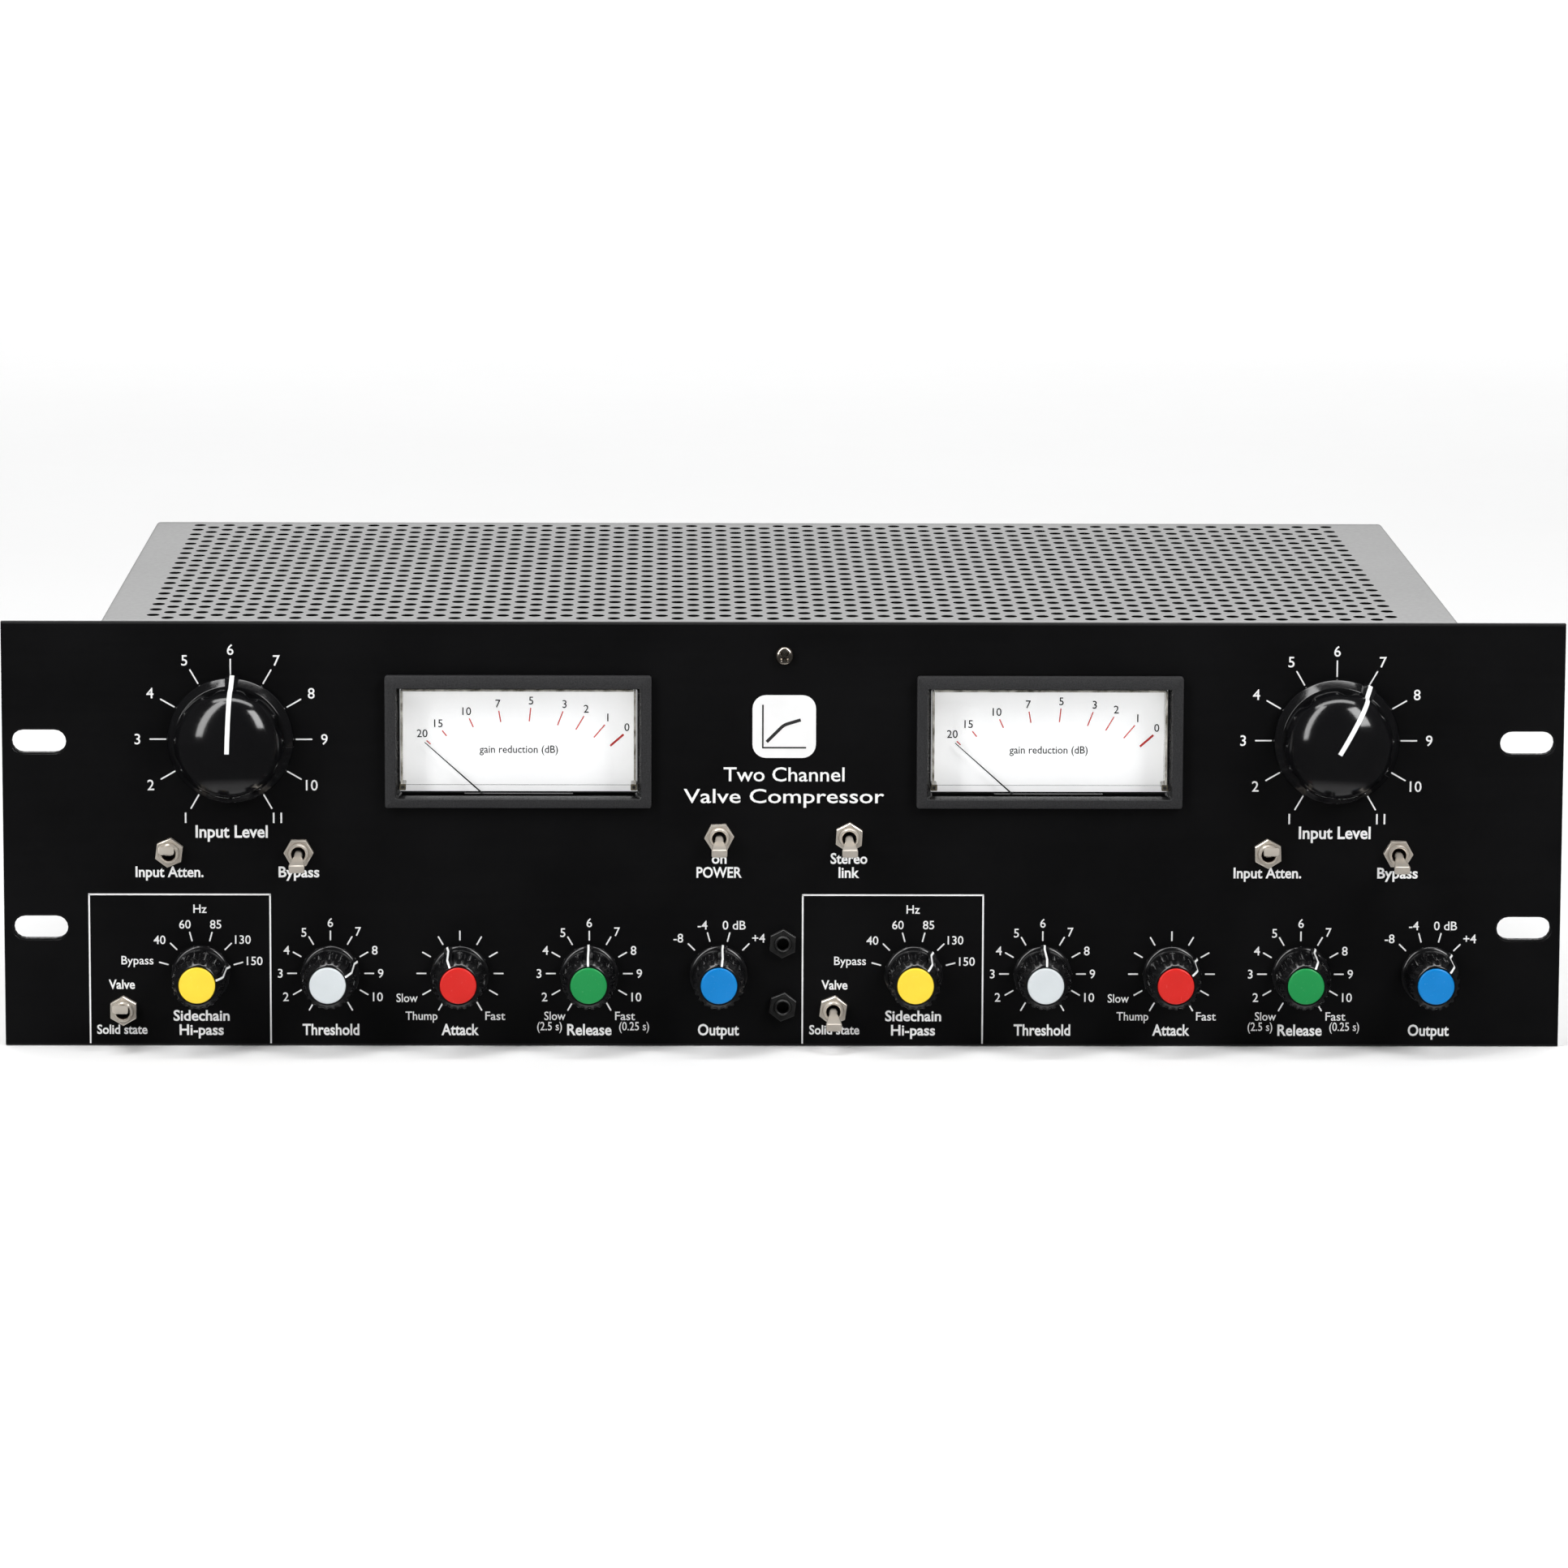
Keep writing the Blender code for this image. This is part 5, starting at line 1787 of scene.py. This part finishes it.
@dataclass
class Studio:
    """Floor, lights and camera."""

    face_y: float
    camera_place: tuple[float, float, float] = (-34.7, -2230.9, 435.2)
    yaw: float = 0.891
    pitch: float = 8.987
    roll: float = 0.214
    lens: float = 167.76
    sensor: float = 36.0
    far: float = 80.0
    floor_half: float = 25.0
    floor_level: float = -0.0002

    def build(self) -> None:
        """Set the scene."""
        self.build_floor()
        self.build_lights()
        self.build_camera()

    def build_floor(self) -> None:
        """A plain pale floor, level with the lowest edge."""
        mesh = bpy.data.meshes.new("floor")
        half, level = self.floor_half, self.floor_level
        square = [(sx * half, sy * half, level) for sx, sy in ((-1, -1), (1, -1), (1, 1), (-1, 1))]
        mesh.from_pydata(square, [], [(0, 1, 2, 3)])
        mesh.materials.append(FLOOR_PALE.material())
        floor = bpy.data.objects.new("floor", mesh)
        bpy.context.collection.objects.link(floor)
        floor.visible_glossy = False

    def area(self, name: str, place: Sequence[float], aim: Sequence[float],
             size: tuple[float, float], power: float) -> None:
        """A rectangular soft light.

        Args:
            name: its name.
            place: where it hangs, in metres.
            aim: the point it faces, in metres.
            size: its two sides, in metres.
            power: its power in watts.
        """
        light = bpy.data.lights.new(name, "AREA")
        light.shape = "RECTANGLE"
        light.size, light.size_y = size
        light.energy = power
        lamp = bpy.data.objects.new(name, light)
        direction = np.array(aim, float) - np.array(place, float)
        back = -direction / np.linalg.norm(direction)
        right = np.cross((0.0, 0.0, 1.0), back)
        right /= np.linalg.norm(right)
        lamp.matrix_world = stand(right, np.cross(back, right), back, place)
        bpy.context.collection.objects.link(lamp)

    def build_lights(self) -> None:
        """Two tall soft boxes in front, a bank overhead, one over the floor behind, and a room."""
        self.area("box_left", (-0.78, -0.75, 0.95), (0.0, -0.02, 0.08), (0.3, 1.7), 14.0)
        self.area("box_right", (0.8, -0.75, 0.95), (0.0, -0.02, 0.08), (0.4, 0.8), 11.0)
        self.area("overhead", (0.0, -0.15, 1.8), (0.0, 0.0, 0.0), (1.8, 0.35), 15.0)
        self.area("bank_behind", (0.0, 6.0, 3.4), (0.0, 6.3, 0.0), (9.0, 8.0), 540.0)
        self.build_surround()
        bpy.context.scene.view_settings.view_transform = "Standard"

    def build_surround(self) -> None:
        """A dim room that is paler straight down, where a bench would be."""
        world = bpy.data.worlds.new("surround")
        world.use_nodes = True
        tree = world.node_tree
        shade = tree.nodes["Background"]
        shade.inputs["Color"].default_value = (1.0, 1.0, 1.0, 1.0)
        split = tree.nodes.new("ShaderNodeSeparateXYZ")
        way = tree.nodes.new("ShaderNodeTexCoord")
        tree.links.new(way.outputs["Generated"], split.inputs["Vector"])
        strength = tree.nodes.new("ShaderNodeMapRange")
        for key, number in (("From Min", -0.8), ("From Max", -0.93), ("To Min", 0.08),
                            ("To Max", 0.7)):
            strength.inputs[key].default_value = number
        tree.links.new(split.outputs["Z"], strength.inputs["Value"])
        tree.links.new(strength.outputs["Result"], shade.inputs["Strength"])
        bpy.context.scene.world = world

    def build_camera(self) -> None:
        """The camera, turned by its yaw, its pitch and then its roll."""
        yaw, pitch, roll = (math.radians(a) for a in (self.yaw, self.pitch, self.roll))
        forward = np.array((math.sin(yaw) * math.cos(pitch), math.cos(yaw) * math.cos(pitch),
                            -math.sin(pitch)))
        right = np.array((math.cos(yaw), -math.sin(yaw), 0.0))
        up = np.cross(right, forward)
        rolled_right = math.cos(roll) * right + math.sin(roll) * up
        rolled_up = math.cos(roll) * up - math.sin(roll) * right
        data = bpy.data.cameras.new("camera")
        data.lens = self.lens
        data.sensor_width = self.sensor
        data.clip_end = self.far
        camera = bpy.data.objects.new("camera", data)
        place = np.array(self.camera_place) * MM + np.array((0.0, self.face_y, 0.0))
        camera.matrix_world = stand(rolled_right, rolled_up, -forward, place.tolist())
        bpy.context.collection.objects.link(camera)
        bpy.context.scene.camera = camera


# --- the whole unit -----------------------------------------------------------------------------
CONTROLS = (
    ("sidechain", CapColour.YELLOW, (75.0, 40.0)),
    ("threshold", CapColour.WHITE, (64.0, 3.0)),
    ("attack", CapColour.RED, (-24.5, 57.0)),
    ("release", CapColour.GREEN, (-1.5, 28.0)),
    ("output", CapColour.BLUE, (8.0, 46.0)),
)
TOGGLES = (
    ("input_atten_left", -190.0, 60.8, True, 7.0),
    ("bypass_left", -150.0, 60.8, False, 30.0),
    ("valve_mode_left", -204.6, 11.1, True, 0.0),
    ("power", -20.0, 65.8, False, 27.0),
    ("stereo_link", 20.2, 65.8, False, 3.0),
    ("input_atten_right", 150.0, 60.8, True, -2.0),
    ("bypass_right", 190.4, 60.8, False, 31.0),
    ("valve_mode_right", 15.5, 11.4, False, 8.0),
)
INPUT_RESTS = (2.0, 30.0)
JACKS = (("upper", 32.4, 3.0), ("lower", 12.5, 8.0))
REAR_AUDIO = (
    ("xlr_input_left", 170.0, False), ("xlr_output_left", 130.0, True),
    ("xlr_input_right", 70.0, False), ("xlr_output_right", 30.0, True),
)


def corners(pair: Sequence[Sequence[float]]) -> list[list[float]]:
    """Two corners as plain lists."""
    return [[float(value) for value in corner] for corner in pair]


def main() -> None:
    """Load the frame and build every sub-assembly round it."""
    logging.basicConfig(level=logging.INFO, format="%(message)s")
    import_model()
    face_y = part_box("front_panel")[0].y
    shop = Workshop(face_y)
    letters = Lettering()
    Studio(face_y).build()
    Panel(shop).build()
    legends = Legends(shop, letters)
    legends.build()
    for channel, side in enumerate(Side):
        place = Place(f"input_knob_{side.value}", side.sign * legends.input_x, legends.input_z,
                      INPUT_RESTS[channel])
        InputKnob(shop, place).build()
        for index, (control, colour, rests) in enumerate(CONTROLS):
            x = legends.first_x[channel] + index * legends.pitch
            place = Place(f"{control}_knob_{side.value}", x, legends.row_z, rests[channel])
            SmallKnob(shop, place, colour).build()
        Meter(shop, letters, side).build()
    for toggle in TOGGLES:
        Toggle(shop, *toggle).build()
    for jack in JACKS:
        Jack(shop, *jack).build()
    PerforatedCover(shop).build()
    Casework(shop, letters).build()
    for connector in REAR_AUDIO:
        RearConnector(shop, *connector).build()
    PowerEntry(shop).build()
    Electronics(shop).build()
    LOG.info("%d pieces", shop.count)


if __name__ == "__main__":
    main()
